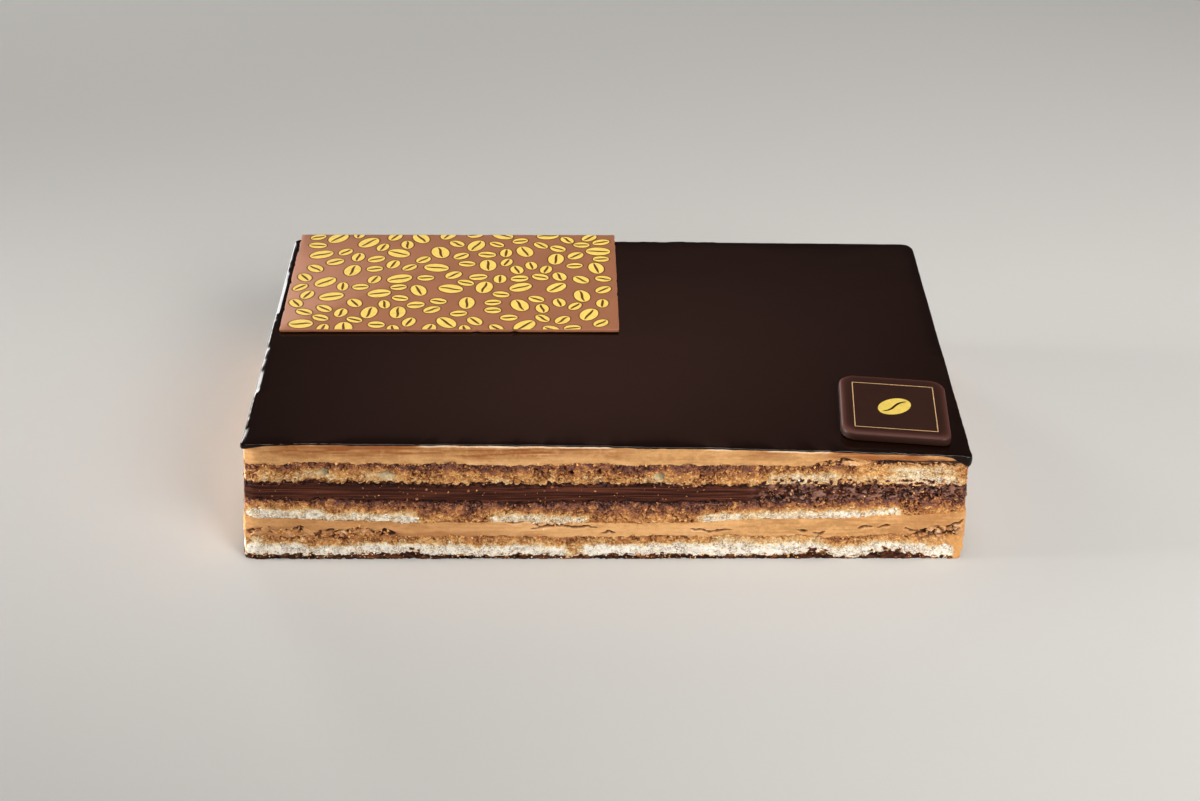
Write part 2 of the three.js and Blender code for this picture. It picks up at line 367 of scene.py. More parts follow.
# The teeth of the border on top of each layer: how far up and down they reach and how long they are.
TEETH = {
    "base_coat": ((0.3, 1.9), (0.22, 0.75)),
    "sponge_bottom": ((0.28, 2.3), (0.22, 0.9)),
    "cream_lower": ((0.12, 2.6), (0.12, 0.8)),
    "sponge_middle": ((0.25, 2.0), (0.25, 0.8)),
    "ganache": ((0.25, 1.9), (0.3, 0.8)),
    "sponge_top": ((0.22, 2.2), (0.2, 0.9)),
    "cream_upper": ((0.08, 5.0), (0.07, 1.2)),
}
SPIKES = {"reach": 0.55, "size": 1.5}  # of the ganache, up into the gaps of the crumb on it
COAT_SUNK = 0.15  # how far the coat's upper edge lies below its solid's
COAT_RAISED = stretches([(-56, -51), (55, 63), (74.5, 83)], seed=31)
COAT_RAISE = 0.9  # how far up it is smeared in the raised stretches
COAT_MISSING = stretches([(-12, -8), (65, 72), (90, 100)], seed=32)
COAT_LEFT = 0.3  # what is left of the coat where it is missing
CREAM_TORN = stretches([(-99, -57), (87, 100)], seed=33)  # where the lower cream's foot is torn
CREAM_TEAR = 0.8  # how far its torn edge goes up and down
CREAM_BURR_HIGHLIGHT = stretches([(-52, 1), (27, 34), (44, 62)], seed=34)  # cream drawn up over the glaze's edge, and painted near white there as a painted highlight
BURR_RISE = 0.15  # how far up it is drawn
GANACHE_PEAK = {"x": -81.0, "reach": 3.0, "rise": 1.3}  # ganache pressed up into a hollow of the sponge
DRIP_DOWN = {"before": 0.8, "reach": 2.4, "depth": 1.3}  # glaze run down at the right end of the front
THINNEST = 0.2  # of any layer, between its two borders
BORDER_STEP = 0.2  # mm of the way between two heights in the finished table


@functools.cache
def border_table():
    """The finished borders' heights, on one fine table of the way round."""
    way = np.arange(0, ROUND, BORDER_STEP)
    table = {None: np.zeros_like(way)}
    below = table[None]
    for number, layer in enumerate(LAYERS[:-1]):
        height = plain_border(layer, way)
        for place, (reach, size) in enumerate(TEETH[layer]):
            height = height + reach * ripple(way, size, 100 + 7 * number + place)
        if layer == "base_coat":
            height = height - COAT_SUNK + COAT_RAISE * inside(way, COAT_RAISED)
            height = mixed(height, COAT_LEFT, inside(way, COAT_MISSING, 1.0))
        elif layer == "sponge_bottom":
            tear = ripple(way, 2.6, 150) + 0.4 * ripple(way, 0.9, 151)
            height = height + CREAM_TEAR * tear * inside(way, CREAM_TORN)
        elif layer == "ganache":
            peak = hump(way, way_at(GANACHE_PEAK["x"]), GANACHE_PEAK["reach"])
            spikes = np.clip(1 - 3 * np.abs(ripple(way, SPIKES["size"], 152)), 0, 1)
            height = height + GANACHE_PEAK["rise"] * peak + SPIKES["reach"] * spikes
        elif layer == "cream_upper":
            drip = hump(way, OUTLINE.corner("front_right") - DRIP_DOWN["before"], DRIP_DOWN["reach"])
            drip = drip * (1 + 0.4 * ripple(way, 1.0, 153))
            height = height + BURR_RISE * inside(way, CREAM_BURR_HIGHLIGHT) - DRIP_DOWN["depth"] * drip
        table[layer] = np.maximum(height, below + THINNEST)
        below = table[layer]
    return way, table


def border(layer, way):
    """The finished height of the border on top of a layer. None is the foot."""
    ways, table = border_table()
    return np.interp(way, ways, table[layer], period=ROUND)


# Where the knife dragged cream down over the right end of the front, as far round as the corner.
SMEAR = {"from": 97.0, "past_corner": 2.5, "top": 13.5}


def smeared(way, height):
    """1 where cream is dragged over the cut."""
    bent = 1.1 * waves(way, height, 2.6, 161) + 0.5 * waves(way, height, 0.9, 162)
    edge = way + bent + 0.36 * (height - 4)
    end = OUTLINE.corner("front_right") + SMEAR["past_corner"] + 2 * bent
    started = smooth(edge, way_at(SMEAR["from"]) - 0.4, way_at(SMEAR["from"]) + 0.4)
    not_ended = smooth(-way, -end - 1, -end)
    return started * not_ended * smooth(-height, -SMEAR["top"] - 1, -SMEAR["top"])


# How far the crumbly corners of the cut layers are worn back, beyond their radius, and over what reach.
WORN = {"front_left": (0.9, 2.1), "front_right": (0.3, 1.5), "back_right": (0.1, 3), "back_left": (0.4, 2)}


def worn(way):
    """How far a place of the cut layers is worn back."""
    return at_corners(way, WORN)


# ---------------------------------------------------------------- closed slabs

CORE_EVERY = 16  # the inner ring of a lid has one point for this many at the edge
LID_BAND, LID_CORE = 2.5, 9.0  # how far in from the cut a lid's two rings lie
LID_STRIP = 0.05  # the share of the baked picture that a layer's hidden lids take
STRIP_MARGIN = 0.03  # left bare above and below the cut side in its strip
WIDER = 1.5  # how much farther apart the points are off the front
FINE_PAST = 4.0  # how far round its two corners the front's spacing goes on


def spaced(step):
    """The ways of a ring of points, step mm apart on the front and wider on the other sides."""
    ends = np.array([0, way_at(LENGTH / 2) + FINE_PAST, ROUND - FINE_PAST, ROUND])
    counts = np.diff(ends) / (step * np.array([1, WIDER, 1]))
    columns = round(counts.sum() / CORE_EVERY) * CORE_EVERY
    reached = np.concatenate([[0], np.cumsum(counts)]) * columns / counts.sum()
    return np.interp(np.arange(columns), reached, ends)


class Side:
    """The cut side of one layer: a grid of ways and heights, and how far each point stands out."""

    def __init__(self, layer, column, row):
        number = LAYERS.index(layer)
        self.below = LAYERS[number - 1] if number else None
        self.layer = layer
        way = spaced(column)
        columns = len(way)
        low = border(self.below, way)
        high = border(layer, way)
        self.tallest = (high - low).max()
        rows = max(3, math.ceil(self.tallest / row)) + 1
        self.share = np.repeat(np.linspace(0, 1, rows)[:, None], columns, axis=1)
        self.way = np.repeat(way[None, :], rows, axis=0)
        self.height = low + (high - low) * self.share
        self.out = np.zeros_like(self.way)
        self.marks = {}

    def near(self, way, share):
        """The row and column of the point nearest to a way and a share of the layer's height."""
        rows, columns = self.way.shape
        row = int(round(np.clip(share, 0, 1) * (rows - 1)))
        return row, int(np.searchsorted(self.way[0], way)) % columns


def ring_quads(first, second):
    """Quads between two closed rings of point numbers, facing out where the second lies above."""
    return np.stack([first, np.roll(first, -1), np.roll(second, -1), second], axis=1).tolist()


def stacked(rows, columns):
    """The point numbers of closed rings stacked upwards, and the quads between them."""
    numbers = np.arange(rows * columns).reshape(rows, columns)
    faces = []
    for lower, upper in zip(numbers, numbers[1:]):
        faces.extend(ring_quads(lower, upper))
    return numbers, faces


def lid(way, edge, heights, first_free, faces, upward):
    """The points of a lid that closes a ring of edge points. Its faces are added to faces."""
    columns = len(way)
    band = first_free + np.arange(columns)
    core = first_free + columns + np.arange(columns // CORE_EVERY)
    middle = first_free + columns + len(core)
    made = ring_quads(edge, band)
    for number, near in enumerate(core):
        start = number * CORE_EVERY
        along = [int(band[(start + step) % columns]) for step in range(CORE_EVERY + 1)]
        after = int(core[(number + 1) % len(core)])
        made.append(along + [after, int(near)])
        made.append([int(near), after, int(middle)])
    faces.extend(made if upward else [face[::-1] for face in made])
    return np.concatenate(
        [
            behind_side(way, heights, LID_BAND),
            behind_side(way, heights, LID_CORE)[::CORE_EVERY],
            [[MIDDLE[0], MIDDLE[1], heights.mean()]],
        ]
    )


def slab(side):
    """The points and faces of one closed layer. The points and faces of its cut side come first."""
    numbers, faces = stacked(*side.way.shape)
    cut = on_side(side.way, side.height, side.out).reshape(-1, 3)
    way = side.way[0]
    foot = lid(way, numbers[0], plain_border(side.below, way), len(cut), faces, upward=False)
    free = len(cut) + len(foot)
    top = lid(way, numbers[-1], plain_border(side.layer, way), free, faces, upward=True)
    return np.concatenate([cut, foot, top]), faces


def folded(side, points, faces):
    """A map for baking a slab: its long side folded into strips, with the lids in a thin strip below."""
    rows, columns = side.way.shape
    strips = max(1, round(math.sqrt(ROUND / side.tallest)))
    per_strip = math.ceil(columns / strips)
    column = np.arange(columns)
    strip = column // per_strip
    left = (column - strip * per_strip) / per_strip
    right = left + 1 / per_strip
    strip_height = (1 - LID_STRIP) / strips
    foot = LID_STRIP + strip * strip_height
    share = STRIP_MARGIN + (1 - 2 * STRIP_MARGIN) * np.linspace(0, 1, rows)
    low = foot + strip_height * share[:-1, None]
    high = foot + strip_height * share[1:, None]
    across = np.stack(np.broadcast_arrays(left, right, right, left, low)[:4], axis=-1)
    up = np.stack([low, low, high, high], axis=-1)
    wall = np.stack([across, up], axis=-1).reshape(-1, 2)
    walls = (rows - 1) * columns
    numbers = np.concatenate([np.asarray(face) for face in faces[walls:]])
    plan = (points[numbers, :2] - MIDDLE) / (LENGTH + 4) + 0.5
    half = sum(len(face) for face in faces[walls:]) // 2
    plan[:, 1] *= 0.9 * LID_STRIP
    plan[:, 0] *= 0.5
    plan[half:, 0] += 0.5
    return np.concatenate([wall, plan])


# ---------------------------------------------------------------- pieces

BAKE_MAP = "OFBake"


def piece(name, points, faces, material, marks=None, bake_map=None, sharp=50.0, smooth_faces=True):
    """A mesh object from points in millimetres. marks are values that its material reads at the points."""
    old = bpy.data.objects.get(name)
    if old is not None:
        bpy.data.objects.remove(old)
    mesh = bpy.data.meshes.new(name)
    mesh.from_pydata((np.asarray(points) * MM).tolist(), [], faces)
    mesh.materials.append(material)
    for mark, values in (marks or {}).items():
        padded = np.zeros(len(mesh.vertices), np.float32)
        flat = np.asarray(values, np.float32).ravel()
        padded[: len(flat)] = flat
        mesh.attributes.new(mark, "FLOAT", "POINT").data.foreach_set("value", padded)
    if bake_map is not None:
        mesh.uv_layers.new(name=BAKE_MAP).data.foreach_set("uv", np.asarray(bake_map, np.float32).ravel())
    mesh.polygons.foreach_set("use_smooth", [smooth_faces] * len(mesh.polygons))
    if smooth_faces:
        mesh.set_sharp_from_angle(angle=math.radians(sharp))
    mesh.update()
    made = bpy.data.objects.new(name, mesh)
    bpy.context.scene.collection.objects.link(made)
    return made


def mounted(made, slot, *replaced):
    """Makes a piece ride on the cake and stand for the solids it replaces, which it hides. slot is not used.
    """
    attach(made, BODY)
    if replaced:
        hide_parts(*replaced)
    return made


def layer_piece(name, side, material, sharp=50.0):
    """The dressed form of one layer, which stands for its solid."""
    points, faces = slab(side)
    made = piece(name, points, faces, material, side.marks, folded(side, points, faces), sharp)
    return mounted(made, side.layer, side.layer)


def linear(code):
    """An sRGB hex colour as the linear red, green and blue that the shaders use."""
    parts = [int(code[start : start + 2], 16) / 255 for start in (1, 3, 5)]
    return tuple(part / 12.92 if part <= 0.04045 else ((part + 0.055) / 1.055) ** 2.4 for part in parts)


def opaque(colour):
    """A colour with full alpha, as sockets take it."""
    return (*tuple(colour)[:3], 1.0)


def scaled(colour, *factors):
    """A colour with its parts multiplied, by one factor or one for each part."""
    if len(factors) == 1:
        factors = factors * 3
    return tuple(min(1.0, part * factor) for part, factor in zip(tuple(colour), factors))


def add(tree, kind, inputs=None, stops=None, **settings):
    """Adds a node. inputs are values or the sockets linked to them, and stops a colour ramp's own."""
    made = tree.nodes.new(kind)
    for name, value in settings.items():
        setattr(made, name, value)
    for name, value in (inputs or {}).items():
        socket = made.inputs[name]
        if isinstance(value, bpy.types.NodeSocket):
            tree.links.new(value, socket)
        else:
            socket.default_value = value
    if stops:
        ramp = made.color_ramp.elements
        while len(ramp) < len(stops):
            ramp.new(0.5)
        for element, (place, colour) in zip(ramp, stops):
            element.position = place
            element.color = opaque(colour)
    return made


def new_material(name):
    """An empty node material, its tree and the socket that gives the place on the piece."""
    old = bpy.data.materials.get(name)
    if old is not None:
        bpy.data.materials.remove(old)
    material = bpy.data.materials.new(name)
    material.use_nodes = True
    tree = material.node_tree
    tree.nodes.clear()
    return material, tree, add(tree, "ShaderNodeTexCoord").outputs["Object"]


def per_metre(size):
    """The scale of a texture whose pattern repeats about every size millimetres."""
    return 1 / (size * MM)


COLOUR_A, COLOUR_B, COLOUR_OUT = 6, 7, 2  # a Mix node's sockets for colours


def summed(tree, total, patterns, less):
    """A value with patterns added, each times its factor, and a number taken off."""
    for pattern, factor in patterns:
        inputs = {0: pattern.outputs["Fac"], 1: factor, 2: total}
        total = add(tree, "ShaderNodeMath", inputs, operation="MULTIPLY_ADD").outputs[0]
    return add(tree, "ShaderNodeMath", {0: total, 1: less}, operation="SUBTRACT").outputs[0]


def tinted(tree, colour, *tints):
    """A colour mixed with others where the piece is marked. A tint is a mark, a colour and the blending."""
    for mark, tint, blending in tints:
        share = add(tree, "ShaderNodeAttribute", attribute_name=mark).outputs["Fac"]
        inputs = {0: share, COLOUR_A: colour, COLOUR_B: opaque(tint)}
        mix = add(tree, "ShaderNodeMix", inputs, data_type="RGBA", blend_type=blending)
        colour = mix.outputs[COLOUR_OUT]
    return colour


def finished(tree, look, relief=None):
    """Adds the shader and the output. relief gives a pattern, its strength and its depth in millimetres."""
    if relief is not None:
        pattern, strength, depth = relief
        inputs = {"Height": pattern.outputs["Fac"], "Strength": strength, "Distance": depth * MM}
        look = {**look, "Normal": add(tree, "ShaderNodeBump", inputs).outputs[0]}
    shader = add(tree, "ShaderNodeBsdfPrincipled", look)
    add(tree, "ShaderNodeOutputMaterial", {"Surface": shader.outputs[0]})


# ---------------------------------------------------------------- sizes and colours a user can change


def colour_setting(name, description, code):
    """A colour that a user can change."""
    return FloatVectorProperty(
        name=name, description=description, subtype="COLOR", default=linear(code), min=0, max=1
    )


def length_setting(name, description, default, low, high):
    """A length that a user can change. Its value and limits are given in millimetres."""
    return FloatProperty(
        name=name, description=description, default=default * MM, min=low * MM, max=high * MM, unit="LENGTH"
    )


def power_setting(name, description, default):
    """A lamp's power that a user can change, in watts."""
    return FloatProperty(name=name, description=description, default=default, unit="POWER")


class SpongeSettings(bpy.types.PropertyGroup):
    """The almond sponge's crumb and its colours from dry to soaked."""

    grain: length_setting("Crumb size", "Height of a clump of crumb", 1.1, 0.5, 3)
    relief: length_setting("Crumb relief", "How far clumps stand out of the gaps between them", 0.46, 0, 1)
    dry: colour_setting("Dry crumb", "Colour of crumb that no syrup reached", "#FDF7EA")
    straw: colour_setting("Damp crumb", "Colour at the edge of the syrup", "#F2D6A2")
    golden: colour_setting("Moist crumb", "Colour of crumb with some coffee syrup", "#DC9E55")
    soaked: colour_setting("Soaked crumb", "Colour of crumb full of coffee syrup", "#AB6B41")
    dark: colour_setting("Dark crumb", "Colour of crumb that also took up chocolate", "#73463B")


class CreamSettings(bpy.types.PropertyGroup):
    """The coffee buttercream's colours and knife marks."""

    cream: colour_setting("Cream", "Colour of the cut coffee buttercream", "#DFA76A")
    stain: colour_setting("Stain", "Colour where the knife dragged syrup and glaze over the cream", "#9E5A26")
    mark: length_setting("Knife mark", "Depth of the marks that the knife left", 0.03, 0, 0.3)


class ChocolateSettings(bpy.types.PropertyGroup):
    """The colours of the chocolates."""

    ganache: colour_setting("Ganache", "Colour of the cut ganache", "#451F11")
    coat: colour_setting("Base coat", "Colour of the dark chocolate under the cake", "#45200E")
    glaze: colour_setting("Glaze", "Colour of the poured glaze under its gloss", "#150804")
    milk: colour_setting("Milk chocolate", "Colour of the plate", "#9A6244")
    badge: colour_setting("Dark chocolate", "Colour of the moulded badge", "#2F1912")


class PrintSettings(bpy.types.PropertyGroup):
    """The gold print on the plate and the badge."""

    gold: colour_setting("Gold", "Colour of the printed cocoa butter", "#FFDA6C")
    bean: length_setting("Large bean", "Length of a large printed bean", 7.4, 2, 20)
    frame_size: length_setting("Frame", "Side of the gold square on the badge", 22.8, 5, 28)
    seed: IntProperty(name="Layout", description="Seed of the layout of the beans", default=8, min=0)


class StageSettings(bpy.types.PropertyGroup):
    """The floor, the lamps and the room."""

    floor: colour_setting("Floor", "Colour of the floor", "#BFBCB7")
    top_power: power_setting("Top lamp", "Power of the soft lamp overhead", 13)
    rim_power: power_setting("Rim lamp", "Power of the lamp at the back left", 5)
    left_power: power_setting("Left lamp", "Power of the low lamp on the left", 0.46)
    front_power: power_setting("Front lamp", "Power of the large lamp in front", 2.1)
    surround: colour_setting("Room", "Colour of the dim room round the stage", "#3E3E3E")
    glow: colour_setting("Glow", "Colour of the soft glow on the room's far wall", "#AC8077")


class CakeSettings(bpy.types.PropertyGroup):
    """All settings of the cake."""

    sponge: PointerProperty(type=SpongeSettings)
    cream: PointerProperty(type=CreamSettings)
    chocolate: PointerProperty(type=ChocolateSettings)
    gold: PointerProperty(type=PrintSettings)
    stage: PointerProperty(type=StageSettings)


def settings():
    """The scene's settings of the cake."""
    return bpy.context.scene.opera_cake


# ---------------------------------------------------------------- sponge

SIDE_COLUMN, SIDE_ROW = 0.27, 0.26  # spacing of a sponge's points along and up the cut front

# How the coffee syrup soaked each joconde layer, from 0, dry, to 1, where it also took up chocolate.
# A profile gives the soaking at shares of the layer's height, from its foot up. Some stretches have
# the pale profile and the others the plain one, in the drier stretches less syrup went in, and in
# the light-topped ones no chocolate reached the layer's upper side. Specks of the chocolate under a
# layer are dragged up into its foot, and farther in the spattered stretches.
SPONGES = {
    "sponge_bottom": {
        "seed": 1100,
        "pale_where": stretches([(-100, -10.5), (-6, 97)], seed=41),
        "pale": ((0, 0.0), (0.38, 0.0), (0.52, 0.13), (0.62, 0.36), (0.85, 0.45), (1, 0.57)),
        "plain": ((0, 0.24), (0.3, 0.32), (0.6, 0.4), (0.85, 0.46), (1, 0.57)),
        "dry_where": stretches([(-99, -94), (30, 60)], seed=45),
        "light_top": [],
        "specks": 0.3,
        "spatter": COAT_RAISED,
    },
    "sponge_middle": {
        "seed": 1200,
        "pale_where": stretches([(-99, -52), (-32, -5), (27, 83)], seed=42),
        "pale": ((0, 0.12), (0.28, 0.12), (0.4, 0.32), (0.54, 0.5), (0.66, 0.61), (0.82, 0.7), (1, 0.78)),
        "plain": ((0, 0.44), (0.25, 0.49), (0.42, 0.6), (0.6, 0.68), (1, 0.78)),
        "dry_where": stretches([(-100, -78)], seed=46),
        "light_top": [],
        "specks": 0.04,
        "spatter": [],
    },
    "sponge_top": {
        "seed": 1300,
        "pale_where": stretches([(-85, -74), (-67, -55), (10, 15.5), (45, 98.6)], seed=43),
        "pale": ((0, 0.44), (0.1, 0.33), (0.36, 0.29), (0.55, 0.44), (0.7, 0.57), (0.82, 0.7), (1, 0.74)),
        "plain": ((0, 0.37), (0.35, 0.45), (0.62, 0.56), (0.76, 0.7), (1, 0.75)),
        "dry_where": stretches([(-97, -89), (45, 64), (78, 99)], seed=47),
        "light_top": stretches([(70, 99)], seed=48),
        "specks": 0.3,
        "spatter": stretches([(43, 99)], seed=61),
    },
}
DRIER_BY = 0.13  # how much less soaked the drier stretches are
LIGHTER_BY = 0.3  # the same of the light tops
SPATTER_REACH = 0.5  # how far up a layer the specks go in the spattered stretches
SPATTER_SOAK = 0.97  # a speck's soaking, as dark as the crumb's colours go
TOP_SPECK_SOAK = 0.95  # the same of the specks under the ganache
# Air bubbles that the cut laid open on the front: place from the foot's middle, half width, half
# height, depth, and whether a pale skin lines them.
BUBBLES = (
    (-78.1, 28.5, 1.8, 1.3, 1.3, True),
    (-60.5, 27.8, 2.3, 1.4, 0.9, True),
    (14.7, 27.1, 1.8, 1.3, 1.0, True),
    (-9.8, 28.4, 0.9, 0.8, 1.6, False),
    (-1.9, 28.7, 0.7, 1.0, 1.5, False),
    (-53.3, 28.0, 0.6, 0.7, 1.0, False),
    (26.0, 27.3, 0.4, 0.9, 1.1, False),
)
OTHER_BUBBLES = 16  # on the sides and the back


@functools.cache
def bubbles(layer):
    """A sponge's bubbles as way, height, half width, half height, depth and lining.

    The top sponge alone has any.
    """
    if layer != "sponge_top":
        return []
    found = [(way_at(x), *rest) for x, *rest in BUBBLES]
    rng = np.random.default_rng(44)
    for _ in range(OTHER_BUBBLES):
        way = rng.uniform(way_at(LENGTH / 2), ROUND)
        lined = bool(rng.random() < 0.5)
        width = rng.uniform(1.2, 2.1) if lined else rng.uniform(0.5, 0.9)
        share = rng.uniform(0.35, 0.6)
        height = mixed(border("ganache", way), border("sponge_top", way), share)
        found.append((way, height, width, width * 0.75, 1.0 if lined else 1.4, lined))
    return found


def soaking(layer, side):
    """How soaked each point of a sponge's side is."""
    look = SPONGES[layer]
    seed = look["seed"]
    way, height = side.way, side.height
    share = side.share + 0.06 * ripple(way, 9, seed + 1) + 0.05 * ripple(way, 3, seed + 2)
    share = share + 0.06 * waves(way, height, 1.3, seed + 3)
    pale = np.interp(share, *zip(*look["pale"]))
    plain = np.interp(share, *zip(*look["plain"]))
    where = inside(way + 1.2 * waves(way, height, 1.8, seed + 4), look["pale_where"], 1.5)
    soak = mixed(plain, pale, where) + 0.06 * waves(way, height, 3.2, seed + 5, 2.0)
    drier = inside(way, look["dry_where"], 3) * smooth(soak, 0.05, 0.3) * (1 - smooth(soak, 0.7, 0.8))
    lighter = inside(way, look["light_top"], 4) * smooth(share, 0.5, 0.75)
    return soak - DRIER_BY * drier - LIGHTER_BY * lighter


@functools.cache
def sponge_side(layer):
    """The torn crumb of one sponge: its relief, and how soaked, deep, lined and smeared each point is."""
    look = SPONGES[layer]
    seed = look["seed"]
    relief = settings().sponge.relief / MM
    side = Side(layer, SIDE_COLUMN, SIDE_ROW)
    way, height, share = side.way, side.height, side.share

    soak = soaking(layer, side)
    crumbly = smooth(soak, 0.08, 0.5)  # dry crumb tears finer
    rough, deep, tint = torn(way, height, settings().sponge.grain / MM, seed + 10)
    fine, fine_deep, fine_tint = torn(way, height, 0.5 * settings().sponge.grain / MM, seed + 20)
    out = relief * mixed(0.55 * fine, rough, crumbly)
    deep = mixed(0.8 * fine_deep, deep, crumbly)
    tint = mixed(0.1 * fine_tint, 0.17 * tint + 0.08 * fine_tint, crumbly)
    # painted highlight: raised clumps come out lighter, as their tint follows the numbers that raise them,
    # and bright lightens the highest soaked ones further
    bright = smooth(tint, 0.09, 0.16) * smooth(soak, 0.5, 0.7)
    soak = soak - tint - 0.14 * bright

    _, _, speck = grains(way, height, 0.8, seed + 30, 1.3)
    reach = SPATTER_REACH * mixed(look["specks"], 1, inside(way, look["spatter"], 3))
    near_foot = 1 - smooth(share, 0.25 * reach, reach)
    spatter = smooth(speck + 0.45 * near_foot, 1.08, 1.16) * (near_foot > 0)
    soak = mixed(soak, SPATTER_SOAK, spatter)
    if layer == "sponge_middle":
        near_top = smooth(share, 0.8, 1.0)
        soak = mixed(soak, TOP_SPECK_SOAK, smooth(speck + 0.5 * near_top, 1.05, 1.15))

    out = out + 0.12 * waves(way, height, 4.5, seed + 6, 1.6) - 0.08 - worn(way)
    out = out - 0.08 * smooth(0.1 - np.minimum(share, 1 - share), 0, 0.1)

    lined = np.zeros_like(way)
    for b_way, b_height, half_width, half_height, depth, has_skin in bubbles(layer):
        reach = np.hypot((way - b_way) / half_width, (height - b_height) / half_height)
        reach = reach + 0.14 * waves(way, height, 0.9, seed + 7)
        hollow = smooth(-reach, -1.05, -0.75)
        bowl = np.sqrt(np.clip(1 - reach * reach, 0, 1))
        out = mixed(out, -depth * bowl - 0.05, hollow)
        if has_skin:
            lined = np.maximum(lined, hollow * (0.7 + 0.5 * waves(way, height, 0.8, seed + 9)))
            # painted shade: a skinned bubble's hollow is darker towards its top, under its overhang
            shaded = 0.1 + 0.85 * smooth(height, b_height - 0.1, b_height + half_height)
            deep = mixed(deep, shaded, hollow)
        else:
            deep = np.maximum(deep, hollow)

    smear = smeared(way, height)
    lumps = 0.2 + 0.22 * waves(way, height, 1.7, seed + 8) + 0.14 * waves(way, height, 0.7, seed + 18)
    lumps = lumps - worn(way)
    side.out = mixed(out, lumps, smear)
    smear = smear * np.clip(0.8 + 0.35 * waves(way, height, 1.3, seed + 19), 0, 1)
    side.marks = {
        "soak": np.clip(soak, 0, 1),
        "deep": np.clip(deep * (1 - smear), 0, 1),
        "lining": lined,
        "smear": smear,
    }
    return side


def crumb_material(name, look, cream, soak=None):
    """Baked joconde, torn by the knife: a matt crumb whose clumps, gaps and specks catch the light unevenly.

    The syrup shows as a run of colour from cream white through straw and gold to a mauve brown,
    and the wet crumb has small glints. soak fixes it for loose crumbs, and otherwise it comes from
    the marks on the cut side.
    """
    material, tree, place = new_material(name)
    clumps = add(tree, "ShaderNodeTexNoise", {"Vector": place, "Scale": per_metre(0.9), "Detail": 3.0})
    specks = add(tree, "ShaderNodeTexNoise", {"Vector": place, "Scale": per_metre(0.35), "Detail": 2.0})
    on_cut = soak is None
    if on_cut:
        soak = add(tree, "ShaderNodeAttribute", attribute_name="soak").outputs["Fac"]
    level = summed(tree, soak, ((clumps, 0.36), (specks, 0.66)), 0.51)
    run = (
        (0.04, look.dry),
        (0.2, look.straw),
        (0.4, look.golden),
        (0.6, look.soaked),
        (0.8, look.dark),
        (0.97, linear("#33190F")),
    )
    colour = add(tree, "ShaderNodeValToRGB", {"Fac": level}, stops=run).outputs["Color"]
    if on_cut:
        # painted shade: the deep mark darkens the crumb's seams, pores and hollows with a brown multiply
        gap = ("deep", linear("#7D5335"), "MULTIPLY")
        skin = ("lining", linear("#B2A98A"), "MIX")
        colour = tinted(tree, colour, gap, skin, ("smear", cream, "MIX"))
    inputs = {"Value": level, "From Min": 0.3, "From Max": 0.8, "To Min": 0.8, "To Max": 0.5}
    wet = add(tree, "ShaderNodeMapRange", inputs)
    finished(tree, {"Base Color": colour, "Roughness": wet.outputs[0], "IOR": 1.36}, (specks, 0.7, 0.14))
    return material


class OPERACAKE_OT_sponges(bpy.types.Operator):
    """Makes the three layers of almond sponge"""

    bl_idname = "opera_cake.sponges"
    bl_label = "Sponges"

    def execute(self, context):
        smear = scaled(settings().cream.cream, 0.92, 0.83, 0.7)
        material = crumb_material("joconde_sponge_torn_crumb", settings().sponge, smear)
        for layer in SPONGES:
            layer_piece(layer + "_crumb", sponge_side(layer), material)
        return {"FINISHED"}


# ---------------------------------------------------------------- buttercream

CREAM_COLUMN, CREAM_ROW = 0.38, 0.2  # spacing of a cream's points along and up the cut front
CREAM_PAINTED_LIGHT = {"palest": -20, "tone": 0.37}  # painted light and shade: the cream's tone rises and falls three times round the cake, palest at x -20 of the front
CREAM_DARKER = {"cream_lower": 0.25, "cream_upper": 0.42}  # how much lower a layer's tone is

CREAM_STAINED = stretches([(-95, 5), (40, 46), (60, 99)], seed=51)
STAIN_FROM = 0.36  # share of the upper cream's height above which it is stained
CREAM_LUMPY = stretches([(58, 99)], seed=53)  # where the upper cream's foot is lumpy
CREAM_SOAKED = stretches([(-99, -30), (84, 101)], seed=54)  # where syrup got into the lower cream's foot
# Glaze that the knife drew into the upper cream: its stretch, height and half thickness.
GLAZE_STREAK = {"from": 74.0, "to": 99.5, "height": 32.4, "half": 0.36}
CREAM_BULGE = {"cream_lower": 0.12, "cream_upper": 0.08}  # how far a layer stands out at half its height
BULGING_END = {"x": 97, "reach": 9, "out": 0.4}  # the lower cream pressed out at the right end

# Cracks in the lower cream of the front: x from the foot's middle and height of each corner.
CRACKS = (
    ((-20.1, 10.2), (-15.9, 11.2), (-11.8, 11.5), (-9.0, 10.9), (-6.8, 10.8), (-4.0, 11.1), (-2.1, 10.5)),
    ((-27.5, 12.6), (-25.2, 12.0), (-23.2, 12.5), (-21.2, 12.9), (-20.1, 12.3), (-18.2, 11.2)),
    ((24.1, 10.1), (26.9, 9.8), (30.2, 9.4), (33.0, 9.8), (35.2, 10.1)),
    ((-0.5, 8.9), (1.2, 9.4), (3.1, 9.0)),
    ((76.1, 10.7), (79.4, 11.4)),
    ((83.6, 10.4), (86.2, 9.6), (89.2, 9.4), (92.0, 8.9), (94.8, 8.7), (97.2, 9.4), (98.9, 10.6)),
    ((58.2, 8.9), (60.1, 8.4), (61.4, 9.4)),
    ((53.6, 9.9), (55.4, 9.5), (56.3, 9.8)),
    ((70.6, 10.3), (72.6, 11.0), (74.5, 10.8)),
    ((96.0, 11.2), (97.2, 12.0), (98.4, 12.2), (99.6, 13.1)),
)
OTHER_CRACKS = 14  # on the sides and the back
CRACK_WIDTH = 0.56  # how far it opens to each side of its line, before it narrows towards its ends
CRACK_DEPTH = 0.9  # how far in its floor lies


